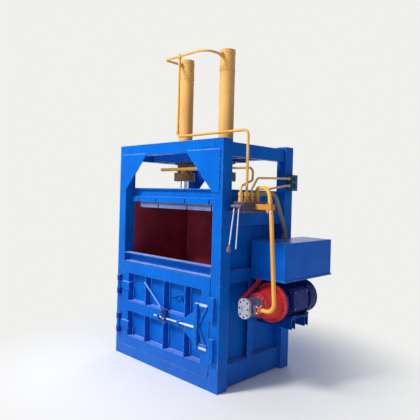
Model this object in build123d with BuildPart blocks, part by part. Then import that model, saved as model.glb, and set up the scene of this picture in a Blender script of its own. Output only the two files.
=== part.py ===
from build123d import *
from math import hypot
import os

os.makedirs("parts", exist_ok=True)

# Frame: X runs along the door, Y to the back and Z up, from the floor under the frame's centre
frame_width = 1370.0
frame_depth = 940.0
frame_height = 2000.0
post_width = 98.0
post_depth = 110.0
tube_wall = 8.0
end_beam_height = 100.0
end_beam_depth = 80.0
side_beam_height = 112.0
side_beam_width = 62.0
side_beam_drop = 22.0
side_beam_inset = 18.0
gusset_reach = 310.0
gusset_drop = 330.0
gusset_thickness = 10.0
gusset_margin = 28.0
gusset_lap = 12.0
overrun = 5.0
fit_gap = 0.3
bearing_gap = 0.05

# Base, walls and feed sill
base_height = 95.0
floor_thickness = 8.0
base_beam_depth = 80.0
joist_width = 70.0
joist_pitch = 215.0
wall_thickness = 10.0
wall_drop = 400.0
rail_depth = 53.0
rail_wall = 7.0
bottom_rail_base = 10.0
bottom_rail_height = 175.0
mid_rail_base = 840.0
mid_rail_height = 95.0
upper_rail_drop = 294.0
upper_rail_height = 114.0
rib_width = 65.0
rib_back = -10.0
rear_rail_height = 100.0
rear_rail_share = (0.03, 0.47, 0.93)
sill_bottom = 893.0
sill_height = 88.0
sill_depth = 70.0

# Door and hinges
door_gap = 4.0
door_latch_gap = 10.0
door_depth = 65.0
door_bar_wall = 8.0
panel_thickness = 8.0
left_stile = 75.0
right_stile = 88.0
top_rail = 102.0
mid_rail = 96.0
mid_rail_bottom = 430.0
bottom_rail = 93.0
door_rib = 10.0
door_rib_shares = (0.265, 0.525, 0.80)
hinge_offset = 60.0
hinge_standoff = 20.0
hinge_height = 180.0
hinge_bases = {"upper": 574.0, "lower": 206.0}
hinge_barrel = 17.0
hinge_pin_radius = 9.0
hinge_pin_head = 5.0
hinge_strap_height = 70.0
hinge_strap_thickness = 12.0
hinge_strap_reach = 100.0
hinge_leaf = 8.0
hinge_spine = 22.0
hinge_link_gap = 1.0
hinge_axial_gap = 0.5

# Latch, its keepers and the locking lever
tongue_thickness = 14.0
tongue_height = 40.0
tongue_gap = 1.0
tongue_end_gap = 12.0
tongue_levels = {"upper": 655.0, "lower": 331.0}
latch_post_x = 437.0
latch_post_width = 38.0
latch_post_depth = 34.0
brace_width = 24.0
brace_thickness = 10.0
brace_reach_share = 0.62
web_reach = 130.0
web_side = 44.0
web_rise = 130.0
web_gap = 5.0
keeper_height = 188.0
keeper_left_gap = 11.0
keeper_width = 54.0
keeper_web = 14.0
keeper_lip = 16.0
keeper_clear = 4.0
keeper_round = 12.0
bar_level = 470.0
bar_radius = 10.0
bar_left = -83.0
bar_gap = 6.0
bar_nut_flats = 24.0
bar_nut_length = 120.0
lever_gap = 4.0
eye_gap = 1.0
eye_width = 20.0
eye_wall = 9.0
eye_shares = (0.12, 0.62)
stud_radius = 7.0
stud_play = 3.5
pivot_x = 62.0
pivot_level = 531.0
pivot_radius = 10.0
pivot_boss = 22.0
pivot_head = 18.0
pivot_head_thickness = 8.0
pivot_rod_gap = 2.0
lever_thickness = 10.0
lever_hub = 30.0
lever_arm_width = 40.0
lever_arm_end = 32.0
lever_rod = 5.5
lever_knee_run = 276.0
lever_knee_rise = 217.0
lever_handle = 198.0
lever_handle_drop = 24.0
lever_bend = 45.0
grip_radius = 8.5
grip_length = 95.0

# Cylinders, platen and the bridge that holds the cylinders
cylinder_x = 270.0
cylinder_rise = 865.0
cylinder_radius = 70.0
cylinder_wall = 12.0
cylinder_cap = 28.0
cap_port_drop = 53.0
rod_port_rise = 70.0
port_boss_radius = 21.0
port_boss_reach = 20.0
gland_radius = 102.0
gland_drop = 165.0
gland_height = 32.0
tube_flange_height = 33.0
gland_bolt_count = 8
gland_bolt_radius = 8.0
gland_bolt_inset = 15.0
gland_bolt_flats = 24.0
bolt_head_height = 10.0
collar_radius = 95.0
collar_height = 15.0
bridge_plate = 15.0
bridge_gap = 12.0
bridge_end = 130.0
rod_radius = 41.0
piston_height = 70.0
piston_room = 20.0
platen_side_gap = 12.0
platen_end_gap = 10.0
platen_drop = 86.0
platen_beam_height = 78.0
platen_slab = 50.0
platen_plate = 10.0
platen_flange = 28.0
block_drop = 55.0
block_inset_x = 70.0
block_inset_y = 30.0
groove_width = 16.0
groove_roof = 12.0
platen_web_y = 60.0
groove_shares = (-0.86, -0.39, 0.29, 0.81)

# Valve with its bracket, fittings and hand levers
valve_left = 736.0
valve_width = 100.0
valve_front = -388.0
valve_length = 290.0
valve_height = 70.0
bracket_thickness = 12.0
bracket_margin = 9.0
fitting_inset = 61.0
fitting_shares = (0.114, 0.362, 0.572, 0.803)
fitting_flats = 36.0
fitting_base = 30.0
fitting_neck = 16.0
fitting_neck_radius = 15.0
fitting_nut = 30.0
yoke_reach = 24.0
yoke_drop = 34.0
yoke_radius = 14.0
yoke_cheek = 8.0
yoke_pin_radius = 6.0
valve_lever_radius = 5.0
valve_lever_drop = {"inner": 333.0, "outer": 325.0}
valve_lever_lean = {"inner": 53.0, "outer": 24.0}
knob_radius = 14.0

# Pipes
pipe_wall = 3.0
cap_pipe_radius = 10.5
cap_pipe_bends = (35.0, 110.0)
tee_x = -66.0
tee_radius = 17.0
tee_drop = 22.0
tee_rise = 14.0
feed_radius = 11.0
feed_rise = 75.0
feed_bend = 45.0
header_y = -135.0
header_radius = 16.0
header_left = -460.0
header_right = 400.0
branch_radius = 10.0
rod_feed_x = 680.0
rod_feed_y = -98.0
rod_feed_radius = 10.0
rod_feed_rise = 45.0
rod_feed_shift = 60.0
rod_feed_turn = 100.0
rod_feed_bends = (26.0, 26.0, 45.0, 45.0, 28.0)
block_depth = 85.0
block_width = 55.0
block_level_drop = 394.0
block_height = 143.0
block_port_shares = (0.31, 0.76)
block_nut_flats = 34.0
block_nut_length = 18.0
block_pipe_radius = 9.0
block_stub = 50.0
upper_pipe_rise = 25.0
upper_pipe_run = 72.0
upper_pipe_drop = 18.0
upper_pipe_bends = (30.0, 45.0, 60.0)
lower_pipe_x = 790.0
lower_pipe_y = -20.0
lower_pipe_drop = 40.0
lower_pipe_bend = 34.0
valve_port_radius = 16.0
valve_port_reach = 20.0
pressure_radius = 16.0
pressure_rise = 37.0
pressure_arch = (955.0, -232.0)
pressure_neck = (997.0, -250.0)
pressure_neck_drop = 102.0
pressure_foot = (1075.0, -285.0)
pressure_bends = (36.0, 85.0, 200.0, 65.0)
port_nut_flats = 46.0
port_nut_length = 30.0
arm_share = 0.69
arm_height = 43.0
arm_thickness = 12.0
clamp_width = 44.0
clamp_depth = 52.0
return_radius = 18.0
return_x = 756.0
return_y = -117.0
return_rise = 66.0
return_knee = (718.0, 168.0)
return_foot = (712.0, 336.0)
return_bends = (35.0, 70.0)
suction_radius = 20.0
suction_x = 708.0
suction_y = -15.0
suction_drop = 33.0
suction_bends = (42.0, 28.0)

# Tank and power unit
tank_width = 305.0
tank_front = -50.0
tank_length = 707.0
tank_bottom = 863.0
tank_top = 1178.0
tank_wall = 5.0
tank_lip = 8.0
tank_lip_height = 12.0
unit_x = 835.0
unit_z = 680.0
pump_face = -355.0
pump_cover_length = 25.0
pump_cover_width = 110.0
pump_cover_height = 157.0
pump_cover_round = 50.0
cover_hole_shares = (
    (0, 0.82),
    (0.62, 0.58),
    (0.76, 0),
    (0.62, -0.58),
    (0, -0.82),
    (-0.62, -0.58),
    (-0.76, 0),
    (-0.62, 0.58),
)
cover_hole_radius = 8.5
cover_recess_radius = 22.0
cover_recess_depth = 6.0
pump_width = 100.0
pump_height = 144.0
pump_round = 46.0
pump_length = 140.0
pump_flange_radius = 74.0
pump_flange_length = 16.0
pump_end_wall = 25.0
port_block_reach = 90.0
port_block_length = 66.0
port_block_height = 64.0
inlet_radius = 26.0
inlet_reach = 78.0
inlet_rise = 12.0
bell_length = 187.0
bell_neck_radius = 98.0
bell_neck_length = 40.0
bell_mouth_radius = 140.0
bell_wall = 12.0
bell_bore = 60.0
motor_flange_radius = 160.0
bell_flange_length = 22.0
motor_flange_length = 18.0
motor_radius = 128.0
motor_length = 383.0
stator_bore = 82.0
end_shield = 22.0
fan_seat_length = 14.0
fan_cover_radius = 145.0
fan_cover_wall = 3.0
fan_cover_length = 98.0
grille_hole_radius = 9.0
grille_rings = {70.0: 12, 108.0: 18}
fin_count = 36
fin_height = 13.0
fin_thickness = 4.0
fin_gap_angle = 50.0
fin_foot_angle = 60.0
shaft_height = 132.0
foot_half = 130.0
foot_length = 50.0
foot_thickness = 22.0
foot_web_half = 90.0
foot_web_drop = 100.0
foot_places = (140.0, 330.0)
box_pad = 134.0
box_reach = 31.0
box_front = 75.0
box_length = 207.0
box_height = 171.0
box_rise = 24.0
shaft_radius = 19.0
rotor_radius = 76.0
rotor_gap = 20.0
coupling_radius = 48.0
coupling_length = 70.0
fan_radius = 110.0
fan_disc = 6.0
fan_gap = 16.0
fan_blade_length = 34.0
fan_blade_thickness = 4.0
fan_blade_count = 8
channel_right = 960.0
channel_width = 56.0
channel_height = 85.0
channel_wall = 8.0
tie_thickness = 8.0
tie_left_gap = 20.0


def span(one, other):
    """The two limits in rising order."""
    return (min(one, other), max(one, other))


def bar(x_span, y_span, z_span, mode=Mode.ADD):
    """A rectangular bar between pairs of X, Y and Z limits."""
    spans = (x_span, y_span, z_span)
    with Locations(tuple((low + high) / 2 for low, high in spans)):
        Box(*(high - low for low, high in spans), mode=mode)


def rod(start, end, radius, mode=Mode.ADD):
    """A round bar from one point to another."""
    run = Vector(*end) - Vector(*start)
    with Locations(Plane(origin=start, z_dir=run)):
        Cylinder(radius, run.length, align=(Align.CENTER, Align.CENTER, Align.MIN), mode=mode)


def hexagon(start, end, flats, mode=Mode.ADD):
    """A hexagonal bar, measured across its flats, from one point to another."""
    run = Vector(*end) - Vector(*start)
    with BuildSketch(Plane(origin=start, z_dir=run)) as section:
        RegularPolygon(flats / 2, 6, major_radius=False)
    extrude(section.sketch, amount=run.length, mode=mode)


def slab(outline, y_span):
    """A plate of any outline in X and Z between two Y limits."""
    low, high = y_span
    with BuildSketch(Plane.XZ.offset(-low)) as section:
        with BuildLine():
            Polyline(*outline, close=True)
        make_face()
    extrude(section.sketch, amount=low - high)


def turned(outline):
    """A turned piece about the power unit's axis, from its outline of radius and Y."""
    plane = Plane(origin=(unit_x, 0, unit_z), x_dir=(1, 0, 0), z_dir=(0, 0, 1))
    with BuildSketch(plane) as section:
        with BuildLine():
            Polyline(*outline, close=True)
        make_face()
    revolve(section.sketch, axis=Axis((unit_x, 0, unit_z), (0, 1, 0)))


def oblong(y_span, width, height, corner):
    """A block with rounded corners about the power unit's axis, between two Y limits."""
    low, high = y_span
    with BuildSketch(Plane(origin=(unit_x, low, unit_z), x_dir=(1, 0, 0), z_dir=(0, -1, 0))) as section:
        RectangleRounded(width, height, corner)
    extrude(section.sketch, amount=low - high)


def pipe(points, bends, radius):
    """A bent pipe along straight runs and tangent arcs."""
    with BuildPart() as piece:
        with BuildLine() as route:
            FilletPolyline(*points, radius=bends)
        with BuildSketch(Plane(origin=route.line @ 0, z_dir=route.line % 0)):
            Circle(radius)
            Circle(radius - pipe_wall, mode=Mode.SUBTRACT)
        sweep()
    return piece


def keep(piece, name):
    """Name a finished piece and write it out."""
    piece.part.label = name
    export_step(piece.part, f"parts/{name}.step")


# Places that follow from the sizes above
half_width = frame_width / 2
front = -frame_depth / 2
rear = frame_depth / 2
bay_half = half_width - post_width
bay_depth = frame_depth / 2 - post_depth
side_top = frame_height - side_beam_drop
side_bottom = side_top - side_beam_height
side_beam_outer = half_width - side_beam_inset
side_beam_inner = side_beam_outer - side_beam_width
end_beam_bottom = frame_height - end_beam_height
wall_outer = bay_half + wall_thickness
rail_outer = wall_outer + rail_depth
floor_under = base_height - floor_thickness
wall_top = frame_height - wall_drop
upper_rail_base = wall_top - upper_rail_drop
plate_bottom = side_bottom - bridge_plate
gland_bottom = plate_bottom - gland_drop
tube_bottom = gland_bottom + gland_height
rod_port_level = tube_bottom + rod_port_rise
cylinder_top = frame_height + cylinder_rise
cap_port_level = cylinder_top - cap_port_drop
feed_level = frame_height + feed_rise
block_bottom_level = frame_height - block_level_drop
platen_half = bay_half - platen_side_gap
platen_front = front + sill_depth + platen_end_gap
platen_back = bay_depth - wall_thickness - platen_end_gap
platen_top = gland_bottom - platen_drop


# Posts: box tubes, closed on top
for name, side, end in (
    ("post_front_left", -1, -1),
    ("post_front_right", 1, -1),
    ("post_rear_left", -1, 1),
    ("post_rear_right", 1, 1),
):
    with BuildPart() as post:
        bar(
            span(side * bay_half, side * half_width),
            span(end * bay_depth, end * rear),
            (0, frame_height),
        )
        bar(
            span(side * (bay_half + tube_wall), side * (half_width - tube_wall)),
            span(end * (bay_depth + tube_wall), end * (rear - tube_wall)),
            (-overrun, frame_height - tube_wall),
            Mode.SUBTRACT,
        )
    keep(post, name)


def end_beam(end):
    """A top channel between two posts, its web flush with their outer faces."""
    outer = end * rear
    inner = end * (rear - end_beam_depth)
    bar((-bay_half, bay_half), span(outer, inner), (end_beam_bottom, frame_height))
    bar(
        (-bay_half - overrun, bay_half + overrun),
        span(end * (rear - tube_wall), inner - end * overrun),
        (end_beam_bottom + tube_wall, frame_height - tube_wall),
        Mode.SUBTRACT,
    )


def gusset(side, end):
    """A corner plate lapped over a post and an end beam."""
    outer_x = side * (half_width - gusset_margin)
    top = end_beam_bottom + gusset_lap
    bottom = end_beam_bottom - gusset_drop
    outline = (
        (outer_x, top),
        (side * (bay_half - gusset_reach), top),
        (side * (bay_half - gusset_reach), end_beam_bottom),
        (side * bay_half, bottom),
        (outer_x, bottom),
    )
    slab(outline, span(end * rear, end * (rear + gusset_thickness)))


with BuildPart() as top_beam_front:
    end_beam(-1)
keep(top_beam_front, "top_beam_front")

with BuildPart() as top_beam_rear:
    end_beam(1)
    gusset(-1, 1)
keep(top_beam_rear, "top_beam_rear")

for name, side in (("left", -1), ("right", 1)):
    with BuildPart() as corner:
        gusset(side, -1)
    keep(corner, f"gusset_front_{name}")

    with BuildPart() as side_beam:
        bar(
            span(side * side_beam_inner, side * side_beam_outer),
            (-bay_depth, bay_depth),
            (side_bottom, side_top),
        )
        bar(
            span(side * (side_beam_inner + tube_wall), side * (side_beam_outer - tube_wall)),
            (-bay_depth - overrun, bay_depth + overrun),
            (side_bottom + tube_wall, side_top - tube_wall),
            Mode.SUBTRACT,
        )
    keep(side_beam, f"top_beam_{name}")


# Bridge: two cross channels over a plate, with the cylinders between them
bridge_inner = cylinder_radius + bridge_gap
bridge_outer = bridge_inner + side_beam_width
with BuildPart() as cylinder_bridge:
    for end in (-1, 1):
        bar(
            (-side_beam_inner, side_beam_inner),
            span(end * bridge_inner, end * bridge_outer),
            (side_bottom, side_top),
        )
        bar(
            (-side_beam_inner - overrun, side_beam_inner + overrun),
            span(end * (bridge_inner - overrun), end * (bridge_outer - tube_wall)),
            (side_bottom + tube_wall, side_top - tube_wall),
            Mode.SUBTRACT,
        )
    bar(
        (-cylinder_x - bridge_end, cylinder_x + bridge_end),
        (-bridge_outer, bridge_outer),
        (plate_bottom, side_bottom),
    )
    for side in (-1, 1):
        rod(
            (side * cylinder_x, 0, plate_bottom - overrun),
            (side * cylinder_x, 0, side_bottom + overrun),
            cylinder_radius + fit_gap,
            Mode.SUBTRACT,
        )
keep(cylinder_bridge, "cylinder_bridge")


# Base frame: end beams, joists and the floor plate welded over them
with BuildPart() as base_frame:
    bar((-bay_half, bay_half), (front, rear), (floor_under, base_height))
    beam_rows = [(front, front + base_beam_depth), (rear - base_beam_depth, rear)]
    for row in (-1, 0, 1):
        middle = row * joist_pitch
        beam_rows.append((middle - joist_width / 2, middle + joist_width / 2))
    for low, high in beam_rows:
        bar((-bay_half, bay_half), (low, high), (0, floor_under))
    for low, high in beam_rows:
        bar(
            (-bay_half - overrun, bay_half + overrun),
            (low + tube_wall, high - tube_wall),
            (tube_wall, floor_under),
            Mode.SUBTRACT,
        )
keep(base_frame, "base_frame")


# Side walls: a plate with three rails and a rib welded outside
rails = (
    (bottom_rail_base, bottom_rail_height),
    (mid_rail_base, mid_rail_height),
    (upper_rail_base, upper_rail_height),
)
for name, side in (("left", -1), ("right", 1)):
    with BuildPart() as side_wall:
        bar(span(side * bay_half, side * wall_outer), (-bay_depth, bay_depth), (0, wall_top))
        for low, height in rails:
            bar(
                span(side * wall_outer, side * rail_outer),
                (-bay_depth, bay_depth),
                (low, low + height),
            )
            bar(
                span(side * wall_outer, side * (rail_outer - rail_wall)),
                (-bay_depth - overrun, bay_depth + overrun),
                (low + rail_wall, low + height - rail_wall),
                Mode.SUBTRACT,
            )
        rib_span = (bottom_rail_base + bottom_rail_height, mid_rail_base)
        bar(
            span(side * wall_outer, side * rail_outer),
            (rib_back - rail_wall, rib_back),
            rib_span,
        )
        bar(
            span(side * (rail_outer - rail_wall), side * rail_outer),
            (rib_back - rib_width, rib_back),
            rib_span,
        )
    keep(side_wall, f"side_wall_{name}")


# Rear wall: a plate on the floor with three channel rails between the rear posts
with BuildPart() as rear_wall:
    bar((-bay_half, bay_half), (bay_depth - wall_thickness, bay_depth), (base_height, wall_top))
    for share in rear_rail_share:
        low = base_height + share * (wall_top - base_height - rear_rail_height)
        bar((-bay_half, bay_half), (bay_depth, bay_depth + rail_depth), (low, low + rear_rail_height))
        bar(
            (-bay_half - overrun, bay_half + overrun),
            (bay_depth, bay_depth + rail_depth - rail_wall),
            (low + rail_wall, low + rear_rail_height - rail_wall),
            Mode.SUBTRACT,
        )
keep(rear_wall, "rear_wall")


# Feed sill: a channel open to the front, over the door
with BuildPart() as sill:
    bar((-bay_half, bay_half), (front, front + sill_depth), (sill_bottom, sill_bottom + sill_height))
    bar(
        (-bay_half - overrun, bay_half + overrun),
        (front - overrun, front + sill_depth - rail_wall),
        (sill_bottom + rail_wall, sill_bottom + sill_height - rail_wall),
        Mode.SUBTRACT,
    )
keep(sill, "sill")


# Door: a sheet panel behind a welded frame of channel bars and flat ribs
door_left = -bay_half + door_gap
door_right = bay_half - door_latch_gap
door_bottom = base_height + door_gap
door_top = sill_bottom - door_gap
door_back = front + door_depth
field_left = door_left + left_stile
field_right = door_right - right_stile
hinge_x = -half_width + hinge_offset
hinge_y = front - hinge_standoff
bar_y = front - bar_gap - bar_radius
lever_back = bar_y - bar_radius - lever_gap
lever_face = lever_back - lever_thickness
eye_half = bar_radius + eye_gap + eye_wall

with BuildPart() as door_panel:
    bar((door_left, door_right), (door_back, door_back + panel_thickness), (door_bottom, door_top))
keep(door_panel, "door_panel")

door_bars = (
    ((door_left, field_left), (door_bottom, door_top)),
    ((field_right, door_right), (door_bottom, door_top)),
    ((field_left, field_right), (door_bottom, door_bottom + bottom_rail)),
    ((field_left, field_right), (mid_rail_bottom, mid_rail_bottom + mid_rail)),
    ((field_left, field_right), (door_top - top_rail, door_top)),
)
with BuildPart() as door_frame:
    for x_span, z_span in door_bars:
        bar(x_span, (front, door_back), z_span)
    for (x_low, x_high), (z_low, z_high) in door_bars:
        bar(
            (x_low + door_bar_wall, x_high - door_bar_wall),
            (front + door_bar_wall, door_back + overrun),
            (z_low + door_bar_wall, z_high - door_bar_wall),
            Mode.SUBTRACT,
        )
    for share in door_rib_shares:
        rib_x = field_left + share * (field_right - field_left)
        for z_span in (
            (door_bottom + bottom_rail, mid_rail_bottom),
            (mid_rail_bottom + mid_rail, door_top - top_rail),
        ):
            bar((rib_x - door_rib / 2, rib_x + door_rib / 2), (front, door_back), z_span)
    for base in hinge_bases.values():
        middle = base + hinge_height / 2
        strap = (middle - hinge_strap_height / 2, middle + hinge_strap_height / 2)
        bar((door_left, door_left + hinge_strap_reach), (front - hinge_strap_thickness, front), strap)
        bar((hinge_x, door_left), (front - hinge_strap_thickness, front - hinge_link_gap), strap)
        rod((hinge_x, hinge_y, strap[0]), (hinge_x, hinge_y, strap[1]), hinge_barrel)
        rod(
            (hinge_x, hinge_y, strap[0] - overrun),
            (hinge_x, hinge_y, strap[1] + overrun),
            hinge_pin_radius + bearing_gap,
            Mode.SUBTRACT,
        )
    for share in eye_shares:
        eye_x = bar_left + share * (latch_post_x - bar_left)
        bar(
            (eye_x - eye_width / 2, eye_x + eye_width / 2),
            (bar_y - eye_half, front),
            (bar_level - eye_half, bar_level + eye_half),
        )
        rod(
            (eye_x - eye_width, bar_y, bar_level),
            (eye_x + eye_width, bar_y, bar_level),
            bar_radius + eye_gap,
            Mode.SUBTRACT,
        )
keep(door_frame, "door_frame")


# Hinge brackets on the post and the pins through them
for name, base in hinge_bases.items():
    middle = base + hinge_height / 2
    lug_rise = hinge_strap_height / 2 + hinge_axial_gap
    lugs = ((base, middle - lug_rise), (middle + lug_rise, base + hinge_height))
    spine_left = hinge_x - hinge_barrel - hinge_spine
    with BuildPart() as hinge_bracket:
        bar(
            (spine_left, hinge_x - hinge_barrel - hinge_link_gap),
            (front - hinge_leaf, front),
            (base, base + hinge_height),
        )
        for low, high in lugs:
            bar((spine_left, hinge_x + hinge_barrel), (hinge_y, front), (low, high))
            rod((hinge_x, hinge_y, low), (hinge_x, hinge_y, high), hinge_barrel)
        rod(
            (hinge_x, hinge_y, base - overrun),
            (hinge_x, hinge_y, base + hinge_height + overrun),
            hinge_pin_radius + bearing_gap,
            Mode.SUBTRACT,
        )
    keep(hinge_bracket, f"hinge_bracket_{name}")

    with BuildPart() as hinge_pin:
        pin_top = base + hinge_height
        rod((hinge_x, hinge_y, base), (hinge_x, hinge_y, pin_top), hinge_pin_radius)
        rod((hinge_x, hinge_y, pin_top), (hinge_x, hinge_y, pin_top + hinge_pin_head), hinge_barrel)
    keep(hinge_pin, f"hinge_pin_{name}")


# Keepers: hooked plates on the post, open towards the door
slot_depth = tongue_gap + tongue_thickness + keeper_clear
keeper_left = bay_half + keeper_left_gap
keeper_right = keeper_left + keeper_width
for name, level in tongue_levels.items():
    reach = (level - keeper_height / 2, level + keeper_height / 2)
    with BuildPart() as keeper:
        bar((keeper_left, keeper_right), (front - slot_depth - keeper_lip, front - slot_depth), reach)
        bar((keeper_right - keeper_web, keeper_right), (front - slot_depth, front), reach)
        ends = keeper.edges().filter_by(Axis.Y).group_by(Axis.X)
        fillet(ends[0] + ends[-1], keeper_round)
    keep(keeper, f"keeper_{name}")


# Latch: an upright with two tongues and braces, drawn along by a round bar
upright_right = latch_post_x + latch_post_width
tongue_back = front - tongue_gap
tongue_right = door_right - tongue_end_gap
brace_foot = upright_right + brace_reach_share * (tongue_right - upright_right)
latch_middle = (tongue_levels["upper"] + tongue_levels["lower"]) / 2
with BuildPart() as latch_frame:
    bar(
        (latch_post_x, upright_right),
        (tongue_back - latch_post_depth, tongue_back),
        (tongue_levels["lower"] - tongue_height / 2, tongue_levels["upper"] + tongue_height / 2),
    )
    for level, way in ((tongue_levels["upper"], 1), (tongue_levels["lower"], -1)):
        bar(
            (upright_right, tongue_right),
            (tongue_back - tongue_thickness, tongue_back),
            (level - tongue_height / 2, level + tongue_height / 2),
        )
        edge = level - way * tongue_height / 2
        slab(
            (
                (upright_right, latch_middle),
                (upright_right, latch_middle + way * 2 * brace_width),
                (brace_foot, edge),
                (brace_foot + brace_width, edge),
            ),
            (tongue_back - brace_thickness, tongue_back),
        )
        web_foot = bar_level + way * (bar_radius + web_gap)
        slab(
            (
                (latch_post_x, web_foot),
                (latch_post_x - web_reach, web_foot),
                (latch_post_x - web_reach, web_foot + way * web_side),
                (latch_post_x, web_foot + way * web_rise),
            ),
            (tongue_back - brace_thickness, tongue_back),
        )
keep(latch_frame, "latch_frame")

with BuildPart() as latch_bar:
    rod((bar_left, bar_y, bar_level), (latch_post_x, bar_y, bar_level), bar_radius)
    hexagon(
        (latch_post_x - bar_nut_length, bar_y, bar_level),
        (latch_post_x, bar_y, bar_level),
        bar_nut_flats,
    )
    rod((pivot_x, bar_y, bar_level), (pivot_x, lever_face - lever_gap, bar_level), stud_radius)
keep(latch_bar, "latch_bar")


# Locking lever: a forked arm over the bar's stud, and a bent handle
knee = (pivot_x - lever_knee_run, pivot_level + lever_knee_rise)
handle_end = (knee[0] - lever_handle, knee[1] - lever_handle_drop)
lever_y = (lever_back + lever_face) / 2
start_share = (pivot_boss + pivot_rod_gap) / hypot(lever_knee_run, lever_knee_rise)
with BuildPart() as lock_lever:
    rod((pivot_x, lever_back, pivot_level), (pivot_x, lever_face, pivot_level), lever_hub)
    bar(
        (pivot_x - lever_arm_width / 2, pivot_x + lever_arm_width / 2),
        (lever_face, lever_back),
        (bar_level - lever_arm_end, pivot_level),
    )
    bar(
        (pivot_x - stud_radius - stud_play, pivot_x + stud_radius + stud_play),
        (lever_face - overrun, lever_back + overrun),
        (bar_level - lever_arm_end - overrun, bar_level + stud_radius + stud_play),
        Mode.SUBTRACT,
    )
    rod(
        (pivot_x, lever_back + overrun, pivot_level),
        (pivot_x, lever_face - overrun, pivot_level),
        pivot_radius + bearing_gap,
        Mode.SUBTRACT,
    )
    with BuildLine() as handle_line:
        FilletPolyline(
            (
                pivot_x - start_share * lever_knee_run,
                lever_y,
                pivot_level + start_share * lever_knee_rise,
            ),
            (knee[0], lever_y, knee[1]),
            (handle_end[0], lever_y, handle_end[1]),
            radius=lever_bend,
        )
    with BuildSketch(Plane(origin=handle_line.line @ 0, z_dir=handle_line.line % 0)):
        Circle(lever_rod)
    sweep()
    handle_way = (handle_line.line % 1) * grip_length
    tip = handle_line.line @ 1
    rod(tuple(tip - handle_way), tuple(tip), grip_radius)
keep(lock_lever, "lock_lever")

with BuildPart() as lever_pivot:
    seat = lever_back + hinge_axial_gap
    head = lever_face - hinge_axial_gap
    rod((pivot_x, front, pivot_level), (pivot_x, seat, pivot_level), pivot_boss)
    rod((pivot_x, seat, pivot_level), (pivot_x, head, pivot_level), pivot_radius)
    rod((pivot_x, head, pivot_level), (pivot_x, head - pivot_head_thickness, pivot_level), pivot_head)
keep(lever_pivot, "lever_pivot")


# Cylinders, glands and piston rods
bore_radius = cylinder_radius - cylinder_wall
port_face = -cylinder_radius - port_boss_reach
piston_top = cylinder_top - cylinder_cap - piston_room
bolt_circle = gland_radius - gland_bolt_inset
for name, side in (("left", -1), ("right", 1)):
    x = side * cylinder_x
    with BuildPart() as cylinder:
        rod((x, 0, tube_bottom), (x, 0, cylinder_top), cylinder_radius)
        rod((x, 0, tube_bottom), (x, 0, tube_bottom + tube_flange_height), gland_radius)
        rod((x, 0, plate_bottom - collar_height), (x, 0, plate_bottom), collar_radius)
        for level in (cap_port_level, rod_port_level):
            rod((x, 0, level), (x, port_face, level), port_boss_radius)
        rod(
            (x, 0, tube_bottom - overrun),
            (x, 0, cylinder_top - cylinder_cap),
            bore_radius,
            Mode.SUBTRACT,
        )
        with Locations((x, 0, tube_bottom)):
            with PolarLocations(bolt_circle, gland_bolt_count):
                Cylinder(gland_bolt_radius + fit_gap, 2 * tube_flange_height + overrun, mode=Mode.SUBTRACT)
    keep(cylinder, f"cylinder_{name}")

    with BuildPart() as gland:
        rod((x, 0, gland_bottom), (x, 0, tube_bottom), gland_radius)
        rod(
            (x, 0, gland_bottom - overrun),
            (x, 0, tube_bottom + overrun),
            rod_radius + fit_gap,
            Mode.SUBTRACT,
        )
        with Locations((x, 0, tube_bottom)):
            with PolarLocations(bolt_circle, gland_bolt_count):
                Cylinder(gland_bolt_radius + fit_gap, 2 * gland_height + overrun, mode=Mode.SUBTRACT)
    keep(gland, f"gland_{name}")

    with BuildPart() as piston_rod:
        rod((x, 0, platen_top), (x, 0, piston_top), rod_radius)
        rod((x, 0, piston_top - piston_height), (x, 0, piston_top), bore_radius - fit_gap)
    keep(piston_rod, f"piston_rod_{name}")

with BuildPart() as gland_bolts:
    flange_top = tube_bottom + tube_flange_height
    for side in (-1, 1):
        with Locations((side * cylinder_x, 0, 0)):
            with PolarLocations(bolt_circle, gland_bolt_count) as ring:
                places = [place.position for place in ring.locations]
        for place in places:
            x, y = place.X, place.Y
            rod((x, y, gland_bottom), (x, y, flange_top), gland_bolt_radius)
            hexagon((x, y, gland_bottom - bolt_head_height), (x, y, gland_bottom), gland_bolt_flats)
            hexagon((x, y, flange_top), (x, y, flange_top + bolt_head_height), gland_bolt_flats)
keep(gland_bolts, "gland_bolts")


# Platen: a slab with strap grooves under a box of channels
slab_top = platen_top - platen_beam_height
slab_bottom = slab_top - platen_slab
block_bottom = slab_bottom - block_drop
with BuildPart() as platen:
    bar((-platen_half, platen_half), (platen_front, platen_back), (slab_bottom, platen_top))
    bar(
        (-platen_half + block_inset_x, platen_half - block_inset_x),
        (platen_front + block_inset_y, platen_back - block_inset_y),
        (block_bottom, slab_bottom),
    )
    front_web = platen_front + platen_flange
    back_web = platen_back - platen_flange
    cells = (
        (platen_front - overrun, front_web),
        (front_web + platen_plate, -platen_web_y - platen_plate),
        (-platen_web_y, platen_web_y),
        (platen_web_y + platen_plate, back_web - platen_plate),
        (back_web, platen_back + overrun),
    )
    for cell in cells:
        bar(
            (-platen_half - overrun, platen_half + overrun),
            cell,
            (slab_top, platen_top - platen_plate),
            Mode.SUBTRACT,
        )
    for share in groove_shares:
        groove_x = share * platen_half
        bar(
            (groove_x - groove_width / 2, groove_x + groove_width / 2),
            (platen_front - overrun, platen_back + overrun),
            (block_bottom - overrun, slab_top - groove_roof),
            Mode.SUBTRACT,
        )
keep(platen, "platen")


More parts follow.
